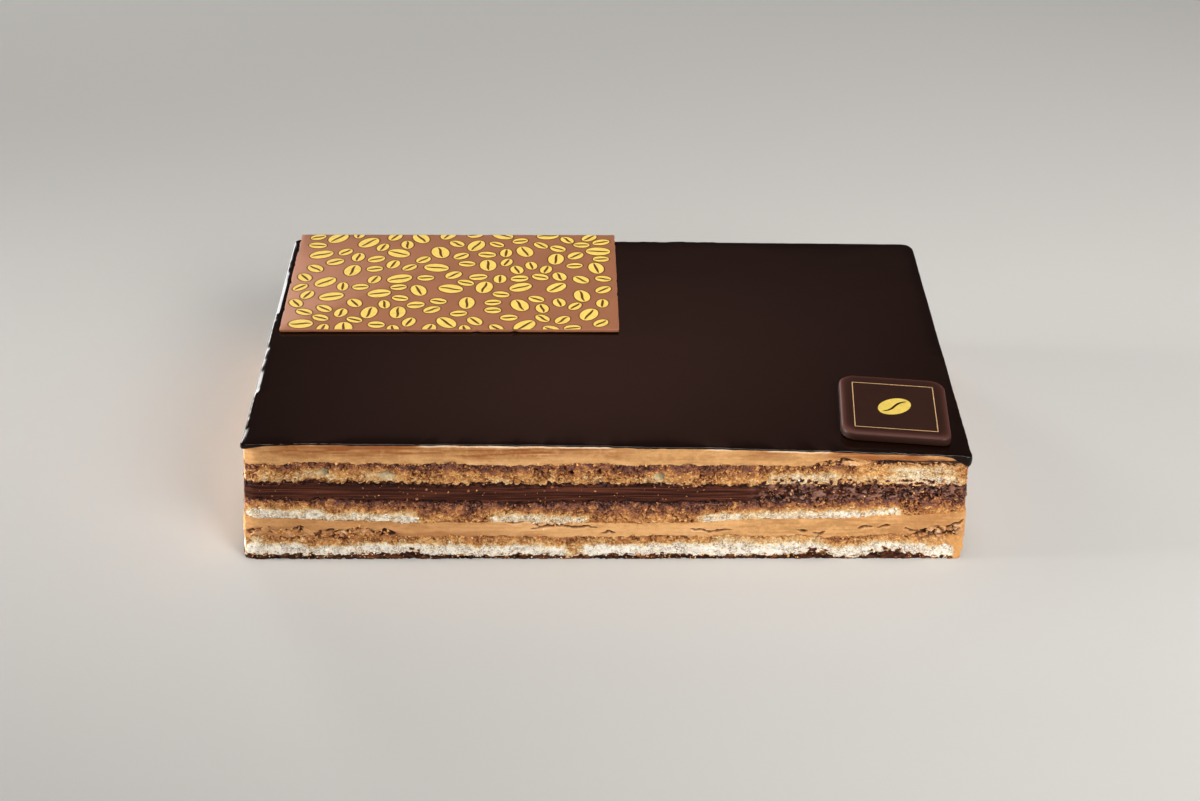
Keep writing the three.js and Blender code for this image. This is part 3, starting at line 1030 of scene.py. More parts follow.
@functools.cache
def cracks():
    """Every crack as a list of ways and heights. The ones off the front are made by chance."""
    found = [[(way_at(x), height) for x, height in crack] for crack in CRACKS]
    rng = np.random.default_rng(52)
    for _ in range(OTHER_CRACKS):
        way = rng.uniform(way_at(LENGTH / 2), ROUND - 15)
        share = rng.uniform(0.2, 0.7)
        line = []
        for _ in range(rng.integers(2, 6)):
            low, high = border("sponge_bottom", way), border("cream_lower", way)
            line.append((way, mixed(low, high, np.clip(share, 0.12, 0.88))))
            way += rng.uniform(1.8, 4.2)
            share += rng.uniform(-0.13, 0.13)
        found.append(line)
    return found


def distance_to_line(way, height, line):
    """How far each place is from a line of straight stretches, and its share of the way along it."""
    nearest = np.full(way.shape, 1e3)
    along = np.zeros(way.shape)
    for number, ((x0, y0), (x1, y1)) in enumerate(zip(line, line[1:])):
        dx, dy = x1 - x0, y1 - y0
        share = np.clip(((way - x0) * dx + (height - y0) * dy) / (dx * dx + dy * dy), 0, 1)
        distance = np.hypot(way - x0 - share * dx, height - y0 - share * dy)
        closer = distance < nearest
        nearest = np.where(closer, distance, nearest)
        along = np.where(closer, (number + share) / (len(line) - 1), along)
    return nearest, along


@functools.cache
def cream_side(layer):
    """One layer of cream as the knife left it: faint marks, pits, lumps and cracks, with stains."""
    seed = 5000 + 100 * LAYERS.index(layer)
    mark = settings().cream.mark / MM
    side = Side(layer, CREAM_COLUMN, CREAM_ROW)
    way, height, share = side.way, side.height, side.share

    streak = waves(way, height, 0.45, seed, 30) + 0.7 * waves(way, height, 1.3, seed + 1, 18)
    out = mark * streak + 0.1 * waves(way, height, 7, seed + 2, 2.5) - worn(way)
    out = out + CREAM_BULGE[layer] * np.clip(4 * share * (1 - share), 0, 1)
    out = out + 0.035 * waves(way, height, 0.7, seed + 3, 2)
    tone = 0.25 * streak + 0.5 * waves(way, height, 2.6, seed + 4, 3)
    tone = tone + 0.35 * waves(way, height, 0.7, seed + 5, 1.6)
    painted_light_and_shade = np.cos(6 * math.pi * (way - way_at(CREAM_PAINTED_LIGHT["palest"])) / ROUND)
    tone = tone + CREAM_PAINTED_LIGHT["tone"] * painted_light_and_shade - CREAM_DARKER[layer]

    # The foot of the cream is torn into flakes where it meets the crumb: some stand out, some are lost.
    lumpy = CREAM_TORN if layer == "cream_lower" else CREAM_LUMPY
    lumps = inside(way, lumpy, 3)
    rough, _, tint = torn(way, height, 1.9, seed + 10)
    reach = mixed(0.07, 0.55, lumps) + mixed(0.05, 0.17, lumps) * waves(way, height, 3.0, seed + 6)
    ragged = smooth(reach - share, 0, 0.06) * (0.45 + 0.55 * lumps)
    out = out + ragged * (0.95 * rough - 0.02)
    # painted shade in the hollows between torn flakes, and a painted highlight on the flakes that stand out
    dark = ragged * smooth(-rough, 0.12, 0.55)
    tone = mixed(tone, 1.1 * tint + 0.3 * smooth(rough, 0, 0.4), ragged)

    if layer == "cream_upper":
        start = STAIN_FROM + 0.14 * ripple(way, 8, seed + 7)
        stain = inside(way, CREAM_STAINED, 6) * smooth(share, start - 0.1, start + 0.25)
        stain = stain * np.clip(0.8 + 0.6 * waves(way, height, 0.45, seed + 8, 14) + 0.3 * rough, 0, 1)
        # painted highlight: the cream drawn up over the glaze's edge is raised, and its tone is lifted to
        # near white
        burr_highlight = inside(way, CREAM_BURR_HIGHLIGHT, 2) * smooth(share, 0.88, 0.95)
        out = out + burr_highlight * (0.16 + 0.08 * ripple(way, 1.1, seed + 19))
        stain = stain * (1 - burr_highlight)
        tone = tone + 2.1 * burr_highlight
        line_height = GLAZE_STREAK["height"] + 0.25 * ripple(way, 3.5, seed + 9)
        away = np.abs(height - line_height) / (GLAZE_STREAK["half"] * (1 + 0.6 * ripple(way, 1.6, seed + 17)))
        here = inside(way, [(way_at(GLAZE_STREAK["from"]), way_at(GLAZE_STREAK["to"]))], 2.0)
        streaked = here * smooth(-away, -1.5, -0.8)
        out = out + 0.12 * streaked
    else:
        stain = 0.3 * smooth(waves(way, height, 0.5, seed + 8, 20), 0.35, 0.8)
        foot = 0.3 + 0.35 * smooth(0.5 + 0.2 * waves(way, height, 3, seed + 18) - share, 0, 0.3)
        stain = np.maximum(stain, foot * inside(way, CREAM_SOAKED, 12))
        stain = np.maximum(stain, 0.8 * ragged * smooth(-tint, -0.2, 0.7))
        streaked = np.zeros_like(way)
        out = out + BULGING_END["out"] * hump(way, way_at(BULGING_END["x"]), BULGING_END["reach"])
        bent = height + 0.3 * waves(way, height, 1.0, seed + 9) + 0.12 * waves(way, height, 0.5, seed + 21)
        for line in cracks():
            distance, along = distance_to_line(way, bent, line)
            width = CRACK_WIDTH * (0.35 + 1.1 * np.sqrt(np.clip(along * (1 - along), 0, 0.25)))
            open_here = smooth(-distance, -width, -0.35 * width)
            lip = smooth(-distance, -3 * width, -width) * (1 - open_here)
            # painted shade in the open crack, and a painted highlight on its raised lips
            out = out - CRACK_DEPTH * open_here + 0.07 * lip
            dark = np.maximum(dark, open_here)
            tone = tone + 0.5 * lip
    side.out = out
    side.marks = {
        "tone": np.clip(0.5 + 0.4 * tone, 0, 1),
        "stain": np.clip(stain, 0, 1),
        "dark": np.clip(dark, 0, 1),
        "streak": streaked,
    }
    return side


def buttercream_material(name, look, glaze):
    """Coffee buttercream, cut with a warm knife: smooth and satin, in soft uneven tones along the cut.

    Stains of syrup and glaze darken it in long streaks, and cracks and torn hollows are darkened as painted
    shade.
    """
    material, tree, place = new_material(name)
    tone = add(tree, "ShaderNodeAttribute", attribute_name="tone").outputs["Fac"]
    streak = add(tree, "ShaderNodeAttribute", attribute_name="streak").outputs["Fac"]
    cloud = add(tree, "ShaderNodeTexNoise", {"Vector": place, "Scale": per_metre(5), "Detail": 3.0})
    speck = add(tree, "ShaderNodeTexNoise", {"Vector": place, "Scale": per_metre(0.45), "Detail": 3.0})
    level = summed(tree, tone, ((cloud, 0.5), (speck, 0.5)), 0.5)
    run = (
        (0.15, scaled(look.cream, 0.72, 0.67, 0.6)),
        (0.5, look.cream),
        (0.85, scaled(look.cream, 1.12, 1.2, 1.4)),
        # the palest stop, near white, serves as a painted highlight where the tone is lifted at the glaze's
        # edge
        (1.0, scaled(look.cream, 1.3, 1.8, 3.2)),
    )
    colour = add(tree, "ShaderNodeValToRGB", {"Fac": level}, stops=run).outputs["Color"]
    # painted shade: the dark mark darkens the cracks and the hollows between torn flakes
    crack = ("dark", linear("#5A2C14"), "MULTIPLY")
    colour = tinted(tree, colour, ("stain", look.stain, "MIX"), crack, ("streak", glaze, "MIX"))
    gloss = add(tree, "ShaderNodeMapRange", {"Value": streak, "To Min": 0.55, "To Max": 0.35})
    finished(tree, {"Base Color": colour, "Roughness": gloss.outputs[0], "IOR": 1.4}, (speck, 0.45, 0.09))
    return material


class OPERACAKE_OT_creams(bpy.types.Operator):
    """Makes the two layers of coffee buttercream"""

    bl_idname = "opera_cake.creams"
    bl_label = "Buttercreams"

    def execute(self, context):
        glaze = scaled(settings().chocolate.glaze, 3.4, 3.0, 3.6)
        material = buttercream_material("coffee_buttercream_knife_cut", settings().cream, glaze)
        for layer in CREAM_BULGE:
            layer_piece(layer + "_cut", cream_side(layer), material, sharp=65)
        return {"FINISHED"}


# ---------------------------------------------------------------- ganache and base coat

GANACHE_COLUMN, GANACHE_ROW = 0.36, 0.22  # spacing of the points of both along and up the cut front
GANACHE_CRUMBLY = SPONGES["sponge_top"]["spatter"]  # where crumb is dragged into the ganache


@functools.cache
def ganache_side():
    """The cut ganache: long knife marks, and crumb dragged into it where it is thin."""
    side = Side("ganache", GANACHE_COLUMN, GANACHE_ROW)
    way, height, share = side.way, side.height, side.share
    streak = waves(way, height, 0.42, 6001, 45) + 0.6 * waves(way, height, 0.9, 6002, 22)
    sheer = 0.04 * streak + 0.1 * waves(way, height, 6, 6003, 2)
    rough, deep, tint = torn(way, height, 0.95, 6010)
    near_edge = smooth(0.2 - np.minimum(share, 1 - share) + 0.06 * waves(way, height, 1.2, 6004), 0, 0.16)
    dragged = inside(way, GANACHE_CRUMBLY, 5)
    crumbly = np.maximum(dragged, 0.85 * near_edge)
    # painted shade: the ganache is darker near its top and bottom edges, where it meets the sponge
    tone = 0.24 * streak * (1 - crumbly) + 0.6 * tint * crumbly - 0.2 * near_edge * (1 - dragged)
    side.out = mixed(sheer, 0.6 * rough - 0.05, crumbly) - 0.02 - worn(way)
    side.marks = {
        "streak": np.clip(0.5 + tone + 0.14 * dragged, 0, 1),
        "crumb": dragged * smooth(tint, -0.1, 0.5) * 0.8,
        "dark": np.clip(crumbly * deep, 0, 1),
    }
    return side


@functools.cache
def base_coat_side():
    """The thin coat of dark chocolate at the foot, broken and uneven."""
    side = Side("base_coat", GANACHE_COLUMN, GANACHE_ROW)
    way, height = side.way, side.height
    rough, deep, tint = torn(way, height, 1.3, 6210)
    smear = smeared(way, height)
    side.out = 0.14 * waves(way, height, 2.4, 6201, 2) + 0.4 * rough * (1 - smear) - 0.1 - worn(way)
    side.marks = {
        "streak": np.clip(0.5 + 0.5 * tint, 0, 1),
        "crumb": np.maximum(smooth(tint, 0.5, 0.9) * 0.7, smear),
        "dark": deep * (1 - smear),
    }
    return side


def set_chocolate_material(name, colour, gloss, crumb):
    """Chocolate that set soft and was cut: a satin dark brown with fine marks along the cut.

    Crumb that the knife dragged over it shows as lighter flecks.
    """
    material, tree, place = new_material(name)
    streak = add(tree, "ShaderNodeAttribute", attribute_name="streak").outputs["Fac"]
    speck = add(tree, "ShaderNodeTexNoise", {"Vector": place, "Scale": per_metre(0.4), "Detail": 3.0})
    long_and_low = (per_metre(14), per_metre(14), per_metre(0.36))
    drawn = add(tree, "ShaderNodeMapping", {"Vector": place, "Scale": long_and_low})
    lines = add(tree, "ShaderNodeTexNoise", {"Vector": drawn.outputs[0], "Scale": 1.0, "Detail": 3.0})
    tone = summed(tree, streak, ((speck, 0.6), (lines, 2.4)), 1.5)
    run = ((0.1, scaled(colour, 0.3)), (0.5, colour), (0.95, scaled(colour, 2.3, 2.7, 3.2)))
    shown = add(tree, "ShaderNodeValToRGB", {"Fac": tone}, stops=run).outputs["Color"]
    # painted shade: the dark mark fills the gaps of the dragged crumb and of the torn coat with near black
    shown = tinted(tree, shown, ("crumb", crumb, "MIX"), ("dark", linear("#120806"), "MIX"))
    finished(tree, {"Base Color": shown, "Roughness": gloss, "IOR": 1.24}, (speck, 0.5, 0.08))
    return material


class OPERACAKE_OT_chocolate_layers(bpy.types.Operator):
    """Makes the ganache in the middle and the chocolate coat under the cake"""

    bl_idname = "opera_cake.chocolate_layers"
    bl_label = "Ganache and base coat"

    def execute(self, context):
        look = settings().chocolate
        for side, colour, gloss, crumb in (
            (ganache_side(), look.ganache, 0.5, linear("#A97E6C")),
            (base_coat_side(), look.coat, 0.5, linear("#C27C44")),
        ):
            material = set_chocolate_material(side.layer + "_set_chocolate_cut", colour, gloss, crumb)
            layer_piece(side.layer + "_cut", side, material, sharp=60)
        return {"FINISHED"}


# ---------------------------------------------------------------- glaze

GLAZE_COLUMN = 0.5  # spacing of its points along the cut front
# The rounded lip reaches in and down. It is tight where the knife cut the front and softer elsewhere.
LIP_CUT = (0.3, 0.28)
LIP_SOFT = (0.5, 0.36)
LIP_SOFT_FRONT = [(way_at(start), way_at(end)) for start, end in ((-93, -77), (26, 36), (64, 86))]
EDGE_OUT = 0.2  # how far the softer edges stand out over the cream
LIP_STEPS = 5
WALL_STEPS = 3
TOP_INSETS = (1.2, 1.6, 2.1, 2.8, 3.8, 5.5, 8.5, 13.0)
TOP_SHARES = (0.85, 0.68, 0.5, 0.32, 0.15)  # of the last of these rings, on the way to the middle
SAG = 0.26  # how far the poured top sinks towards its edge
SAG_REACH = 1.5  # how far in from the lip it does
THINNEST_GLAZE = 0.12  # of its cut wall, under the lip
# How far the glaze stands out at the two corners where it ran down, and over what reach.
DRIPS = {"front_right": (0.5, 2.6), "front_left": (0.3, 2.6)}


def glaze_edge(way):
    """The glaze's edge: its foot, how far it stands out, how far its lip reaches in and down, and its rim."""
    off_front = smooth(way, way_at(LENGTH / 2), way_at(LENGTH / 2) + 8)
    soft = np.maximum(off_front, inside(way, LIP_SOFT_FRONT, 2))
    reach_in = mixed(LIP_CUT[0], LIP_SOFT[0], soft)
    reach_in = reach_in * (1 + mixed(0.3, 0.08, off_front) * ripple(way, 3.0, 706))
    reach_down = mixed(LIP_CUT[1], LIP_SOFT[1], soft)
    ragged = 0.08 * ripple(way, 6, 701) + 0.06 * ripple(way, 1.4, 702)
    overhang = EDGE_OUT + 0.07 * ripple(way, 14, 705)
    out = (1 - off_front) * ragged + at_corners(way, DRIPS) + off_front * overhang
    low = border("cream_upper", way)
    edge = on_side(way, low, out)
    rim = glaze_top(edge[:, 0], edge[:, 1]) - SAG + mixed(0.05, 0.02, off_front) * ripple(way, 4, 703)
    rim = np.maximum(rim, low + reach_down + THINNEST_GLAZE)
    return low, out, reach_in, reach_down, rim


def glaze_shape():
    """The poured glaze: a cut wall, a rounded lip and a level top. Gives points, faces and the cut points."""
    way = spaced(GLAZE_COLUMN)
    low, out, reach_in, reach_down, rim = glaze_edge(way)
    shoulder = rim - reach_down
    rings = []
    for step in range(WALL_STEPS + 1):
        share = step / WALL_STEPS
        bulge = 0.3 * at_corners(way, DRIPS) * math.sin(math.pi * share)
        rings.append(on_side(way, mixed(low, shoulder, share), out + bulge - 0.06 * (1 - share)))
    for step in range(1, LIP_STEPS + 1):
        turn = math.pi / 2 * step / LIP_STEPS
        height = shoulder + (rim - shoulder) * math.sin(turn)
        rings.append(on_side(way, height, out - reach_in * (1 - math.cos(turn))))
    lip = rings[-1]
    for inset in TOP_INSETS:
        ring = behind_side(way, np.full_like(way, GLAZE_HEIGHT), inset)
        ring[:, :2] = mixed(ring[:, :2], lip[:, :2], 0.6 * math.exp(-inset / 1.2))
        swell = 0.04 * math.exp(-inset / 7) * waves(way, np.full_like(way, inset), 9, 704)
        rest = glaze_top(ring[:, 0], ring[:, 1]) + swell
        ring[:, 2] = mixed(rest, lip[:, 2], math.exp(-inset / SAG_REACH))
        rings.append(ring)
    last = rings[-1]
    for share in TOP_SHARES:
        ring = last.copy()
        ring[:, :2] = mixed(MIDDLE, last[:, :2], share)
        ring[:, 2] = glaze_top(ring[:, 0], ring[:, 1])
        rings.append(ring)
    numbers, faces = stacked(len(rings), len(way))
    middle = numbers.size
    centre = [[*MIDDLE, float(glaze_top(MIDDLE[0], MIDDLE[1]))]]
    top = numbers[-1]
    faces.extend([int(a), int(b), middle] for a, b in zip(top, np.roll(top, -1)))
    foot = lid(way, numbers[0], plain_border("cream_upper", way), middle + 1, faces, upward=False)
    return np.concatenate([*rings, centre, foot]), faces, np.ones((WALL_STEPS + 1) * len(way))


def glaze_material(name, colour):
    """Chocolate glaze, poured warm and set to a mirror: near black under a clear, smooth gloss.

    Its gloss is a little uneven, as the sheet of glaze dulls in broad soft clouds, and the knife
    left its cut wall satin.
    """
    material, tree, place = new_material(name)
    cut = add(tree, "ShaderNodeAttribute", attribute_name="cut").outputs["Fac"]
    cloud = add(tree, "ShaderNodeTexNoise", {"Vector": place, "Scale": per_metre(45), "Detail": 2.0})
    run = ((0.3, scaled(colour, 0.86)), (0.7, scaled(colour, 1.14)))
    shown = add(tree, "ShaderNodeValToRGB", {"Fac": cloud.outputs["Fac"]}, stops=run)
    rough = add(tree, "ShaderNodeMapRange", {"Value": cloud.outputs["Fac"], "To Min": 0.06, "To Max": 0.14})
    rough = add(tree, "ShaderNodeMath", {0: cut, 1: 0.3, 2: rough.outputs[0]}, operation="MULTIPLY_ADD")
    gloss = add(tree, "ShaderNodeMapRange", {"Value": cut, "To Min": 0.5, "To Max": 0.2})
    sag = add(tree, "ShaderNodeTexNoise", {"Vector": place, "Scale": per_metre(14), "Detail": 1.0})
    look = {
        "Base Color": shown.outputs["Color"],
        "Roughness": rough.outputs[0],
        "IOR": 1.42,
        "Specular IOR Level": gloss.outputs[0],
    }
    finished(tree, look, (sag, 0.25, 0.08))
    return material


class OPERACAKE_OT_glaze(bpy.types.Operator):
    """Pours the dark glaze with its lip and its two drips"""

    bl_idname = "opera_cake.glaze"
    bl_label = "Glaze"

    def execute(self, context):
        material = glaze_material("chocolate_glaze_poured_mirror", settings().chocolate.glaze)
        points, faces, cut = glaze_shape()
        made = piece("glaze_poured", points, faces, material, {"cut": cut}, sharp=80)
        mounted(made, "glaze", "glaze")
        return {"FINISHED"}


# ---------------------------------------------------------------- what lies on the glaze


class Rest:
    """Where a flat solid lies: its middle, its size, and its own directions right, back and up."""

    def __init__(self, node):
        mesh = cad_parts[node].data
        points = np.array([v.co for v in mesh.vertices]) / MM
        tops = [p for p in mesh.polygons if p.normal.z > 0.9]
        up = sum((p.normal * p.area for p in tops), Vector()).normalized()
        turns = np.radians(np.linspace(-12, 12, 1201))
        x, y = points[:, :2].T[:, :, None]
        across = x * np.cos(turns) + y * np.sin(turns)
        along = y * np.cos(turns) - x * np.sin(turns)
        turn = turns[np.argmin(np.ptp(across, axis=0) * np.ptp(along, axis=0))]
        right = Vector((math.cos(turn), math.sin(turn), 0))
        right = (right - up * right.dot(up)).normalized()
        self.axes = np.array([right, up.cross(right), up])
        own = points @ self.axes.T
        low, high = own.min(axis=0), own.max(axis=0)
        self.size = high - low
        middle = (low + high) / 2
        middle[2] = low[2]
        self.origin = middle @ self.axes

    def placed(self, points):
        """Points given from the middle of the solid's underside, in the part's frame."""
        return self.origin + np.asarray(points) @ self.axes


BEND_POINTS = 9  # of each rounded corner of a flat plate


def rounded_outline(width, depth, radii, step):
    """The outline of a rectangle, anticlockwise from its front right corner, with its sides divided."""
    points = []
    for radius, (_, side, first) in zip(radii, CORNERS):
        turn = np.radians(np.linspace(first, first + 90, BEND_POINTS))
        middle = np.array(side) * (np.array([width, depth]) / 2 - radius)
        points.append(middle + radius * np.stack([np.cos(turn), np.sin(turn)], axis=1))
    corners = np.concatenate(points)
    outline = []
    for start, end in zip(corners, np.roll(corners, -1, axis=0)):
        count = max(1, round(np.linalg.norm(end - start) / step))
        outline.extend(mixed(start, end, part / count) for part in range(count))
    return np.array(outline)


def plate_shape(outline, size, profile):
    """A flat plate in its own frame. profile gives heights and how far each ring lies in from the outline."""
    rings = []
    for height, inset in profile:
        scale = 1 - 2 * inset / np.array(size[:2])
        rings.append(np.column_stack([outline * scale, np.full(len(outline), height)]))
    numbers, faces = stacked(len(profile), len(outline))
    faces.append(numbers[-1].tolist())
    faces.append(numbers[0][::-1].tolist())
    return np.concatenate(rings), faces


PLAQUE_RADIUS = 0.5
PLAQUE_NICKS = 40  # small chips all round its edge
PLAQUE_WAVE = 0.05  # how far its hand-cut edge waves in and out
PRINT_MARGIN = 0.25  # left bare along its edge


def nicked(outline, seed):
    """A plate's outline with a hand-cut edge: slightly wavy, and chipped here and there."""
    rng = np.random.default_rng(seed)
    direction = outline / np.linalg.norm(outline, axis=1)[:, None]
    push = rng.uniform(-PLAQUE_WAVE, PLAQUE_WAVE, len(outline))
    for _ in range(PLAQUE_NICKS):
        centre = rng.integers(len(outline))
        depth = rng.uniform(0.1, 0.4)
        for step, part in ((-1, 0.5), (0, 1.0), (1, 0.4)):
            push[(centre + step) % len(outline)] -= depth * part
    return outline + direction * push[:, None]


def chocolate_material(name, colour, roughness, edge_colour, cloud_size, ior=1.36):
    """Tempered chocolate, set against a smooth sheet or mould: even and satin, with faint clouds.

    Its marked edges are lighter: on the plate a broken skin and a painted highlight, on the badge a painted
    highlight.
    """
    material, tree, place = new_material(name)
    cloud = add(tree, "ShaderNodeTexNoise", {"Vector": place, "Scale": per_metre(cloud_size), "Detail": 4.0})
    grain = add(tree, "ShaderNodeTexNoise", {"Vector": place, "Scale": per_metre(0.5), "Detail": 2.0})
    run = ((0.3, scaled(colour, 0.9)), (0.7, scaled(colour, 1.1)))
    shown = add(tree, "ShaderNodeValToRGB", {"Fac": cloud.outputs["Fac"]}, stops=run).outputs["Color"]
    shown = tinted(tree, shown, ("edge", edge_colour, "MIX"))
    finished(tree, {"Base Color": shown, "Roughness": roughness, "IOR": ior}, (grain, 0.15, 0.03))
    return material


def gold_material(name, colour):
    """Cocoa butter dyed gold, printed flat on the sheet: a satin yellow, mottled where it is thin."""
    material, tree, place = new_material(name)
    mottle = add(tree, "ShaderNodeTexNoise", {"Vector": place, "Scale": per_metre(1.3), "Detail": 3.0})
    run = ((0.3, scaled(colour, 0.85)), (0.65, colour))
    shown = add(tree, "ShaderNodeValToRGB", {"Fac": mottle.outputs["Fac"]}, stops=run)
    finished(tree, {"Base Color": shown.outputs["Color"], "Roughness": 0.4, "IOR": 1.46})
    return material


OVAL_POINTS = 28
SLIT_POINTS = 11
PRINT_SUNK = 0.05  # how far prints reach into what they are printed on
# How far each layer of print stands out of it.
UNDERPRINT_PROUD = 0.014
PRINT_PROUD = 0.03
SLIT_PROUD = 0.045
UNDERPRINT_RIM = 0.38  # how far the darker underprint shows round a bean
UNDERPRINT = linear("#653C18")


def oval(length, width):
    """The outline of an oval, lying along X."""
    turn = np.linspace(0, 2 * math.pi, OVAL_POINTS, endpoint=False)
    return np.column_stack([length / 2 * np.cos(turn), width / 2 * np.sin(turn)])


def slit_line(length, thickness, curve):
    """The outline of a bean's slit, lying along X: a line that swings to both sides and ends in points."""
    along = np.linspace(-1, 1, SLIT_POINTS)
    middle = curve * np.sin(math.pi * along)
    half = thickness / 2 * np.sqrt(1 - along * along)
    lower = np.column_stack([along * length / 2, middle - half])
    upper = np.column_stack([along * length / 2, middle + half])
    return np.concatenate([lower, upper[-2:0:-1]])


def turned(points, angle, centre):
    """Points turned round the origin, then moved."""
    c, s = math.cos(angle), math.sin(angle)
    return points @ np.array([[c, s], [-s, c]]) + centre


def clipped(points, low, high):
    """A polygon, cut off at the sides of a rectangle. None if nothing is left."""
    for axis in (0, 1):
        for limit, sign in ((low[axis], 1), (high[axis], -1)):
            kept = []
            for start, end in zip(points, np.roll(points, -1, axis=0)):
                a = sign * (start[axis] - limit)
                b = sign * (end[axis] - limit)
                if a >= 0:
                    kept.append(start)
                if a * b < 0:
                    kept.append(mixed(start, end, a / (a - b)))
            points = np.array(kept)
            if len(points) < 3:
                return None
    return points


def printed(shapes, rest, top, proud):
    """Thin raised prints of flat shapes on top of a plate, joined."""
    points, faces = [], []
    free = 0
    for shape in shapes:
        ends, sides = plate_shape(shape, rest.size, ((top - PRINT_SUNK, 0), (top + proud, 0)))
        points.append(ends)
        faces.extend([number + free for number in side] for side in sides)
        free += len(ends)
    return rest.placed(np.concatenate(points)), faces


# The beans that are strewn, largest first: their length in large beans, width as a share of it, how
# many at most, and the least bare chocolate round each one.
BEAN_KINDS = ((1.0, 0.68, 36, 3.2), (0.72, 0.72, 90, 0.95), (0.72, 0.68, 40, 0.6))
BEAN_TRIES = 7000
PLAIN_MARGINS = (0.9, 1.6)  # without beans, along the left and the right side
BEAN_SLIT = 0.82  # its thickness
SLIT_LENGTH = 0.92  # as a share of the bean's


def bean_layout(size, look):
    """Beans strewn evenly over the plate: centre, length, width, turn and how far the slit swings."""
    rng = np.random.default_rng(look.seed)
    half = np.array(size[:2]) / 2
    placed = []
    for share, slimness, most, gap in BEAN_KINDS:
        count = 0
        for _ in range(BEAN_TRIES):
            length = share * look.bean / MM * rng.uniform(0.94, 1.06)
            width = slimness * length * rng.uniform(0.94, 1.06)
            centre = rng.uniform(-half, half)
            angle = rng.uniform(0, math.pi)
            arm = np.array([math.cos(angle), math.sin(angle)]) * (length - width) / 2
            spine = np.stack([centre - arm, centre, centre + arm])
            past_left = spine[:, 0].min() - width / 2 < PLAIN_MARGINS[0] - half[0]
            past_right = spine[:, 0].max() + width / 2 > half[0] - PLAIN_MARGINS[1]
            if count == most or past_left or past_right:
                continue
            clear = all(
                np.linalg.norm(spine[:, None] - other[None], axis=2).min() > (width + other_width) / 2 + gap
                for _, other, other_width in placed
            )
            if clear:
                swing = width * rng.uniform(-0.06, 0.06)
                placed.append(((centre, length, width, angle, swing), spine, width))
                count += 1
    return [bean[0] for bean in placed]


class OPERACAKE_OT_plate(bpy.types.Operator):
    """Makes the milk chocolate plate and its gold bean print"""

    bl_idname = "opera_cake.plate"
    bl_label = "Plate"

    def execute(self, context):
        look = settings()
        rest = Rest("plaque")
        width, depth, thickness = rest.size
        room = 2 * PLAQUE_WAVE
        plain = rounded_outline(width - room, depth - room, [PLAQUE_RADIUS] * 4, 0.7)
        outline = nicked(plain, 81)
        profile = (
            (0.0, 0.12),
            (0.1, 0.0),
            (thickness - 0.12, 0.0),
            (thickness - 0.03, 0.04),
            (thickness, 0.14),
        )
        points, faces = plate_shape(outline, rest.size, profile)
        # the rounded top rim takes the lighter edge colour: a lighter cut edge, and a painted highlight along
        # it
        marks = {"edge": np.repeat((0.0, 0.0, 0.1, 1.0, 0.3), len(outline))}
        scraped_rim_and_highlight = linear("#B5795A")
        material = chocolate_material(
            "milk_chocolate_set_on_printed_sheet", look.chocolate.milk, 0.42, scraped_rim_and_highlight, 9
        )
        made = piece("plate_milk_chocolate", rest.placed(points), faces, material, marks, sharp=40)
        mounted(made, "plaque", "plaque")

        low = plain.min(axis=0) + PRINT_MARGIN
        high = plain.max(axis=0) - PRINT_MARGIN
        gold, under, slits = [], [], []
        for centre, length, bean_width, angle, swing in bean_layout(rest.size, look.gold):
            rim = oval(length + 2 * UNDERPRINT_RIM, bean_width + 2 * UNDERPRINT_RIM)
            line = slit_line(SLIT_LENGTH * length, BEAN_SLIT, swing)
            for shapes, shape in ((under, rim), (gold, oval(length, bean_width)), (slits, line)):
                shape = clipped(turned(shape, angle, centre), low, high)
                if shape is not None:
                    shapes.append(shape)
        brown_butter = chocolate_material("brown_cocoa_butter_printed", UNDERPRINT, 0.42, UNDERPRINT, 5)
        gold_butter = gold_material("gold_cocoa_butter_printed", look.gold.gold)
        for name, shapes, material, proud in (
            ("plate_bean_underprint", under, brown_butter, UNDERPRINT_PROUD),
            ("plate_bean_print", gold, gold_butter, PRINT_PROUD),
            ("plate_bean_slits", slits, brown_butter, SLIT_PROUD),
        ):
            points, faces = printed(shapes, rest, thickness, proud)
            mounted(piece(name, points, faces, material, smooth_faces=False), "plaque")
        return {"FINISHED"}


BADGE_RADII = (2.6, 4.4, 4.2, 4.2)  # of its corners, from the front right one round
# The badge's side: height as a share of its thickness, and how far in from its outline in mm.
BADGE_PROFILE = (
    (0.0, 0.4),
    (0.05, 0.12),
    (0.12, 0.0),
    (0.55, 0.04),
    (0.72, 0.1),
    (0.84, 0.24),
    (0.92, 0.46),
    (0.97, 0.8),
    (0.99, 1.15),
    (1.0, 1.6),
    (1.0, 2.4),
)
FRAME_LINE = 0.24  # its thickness
FRAME_FORWARD = 0.55  # how far the frame sits in front of the badge's middle
BADGE_BEAN = {"length": 10.4, "width": 7.2, "swing": 0.55, "slit": 0.75, "turn": 38}


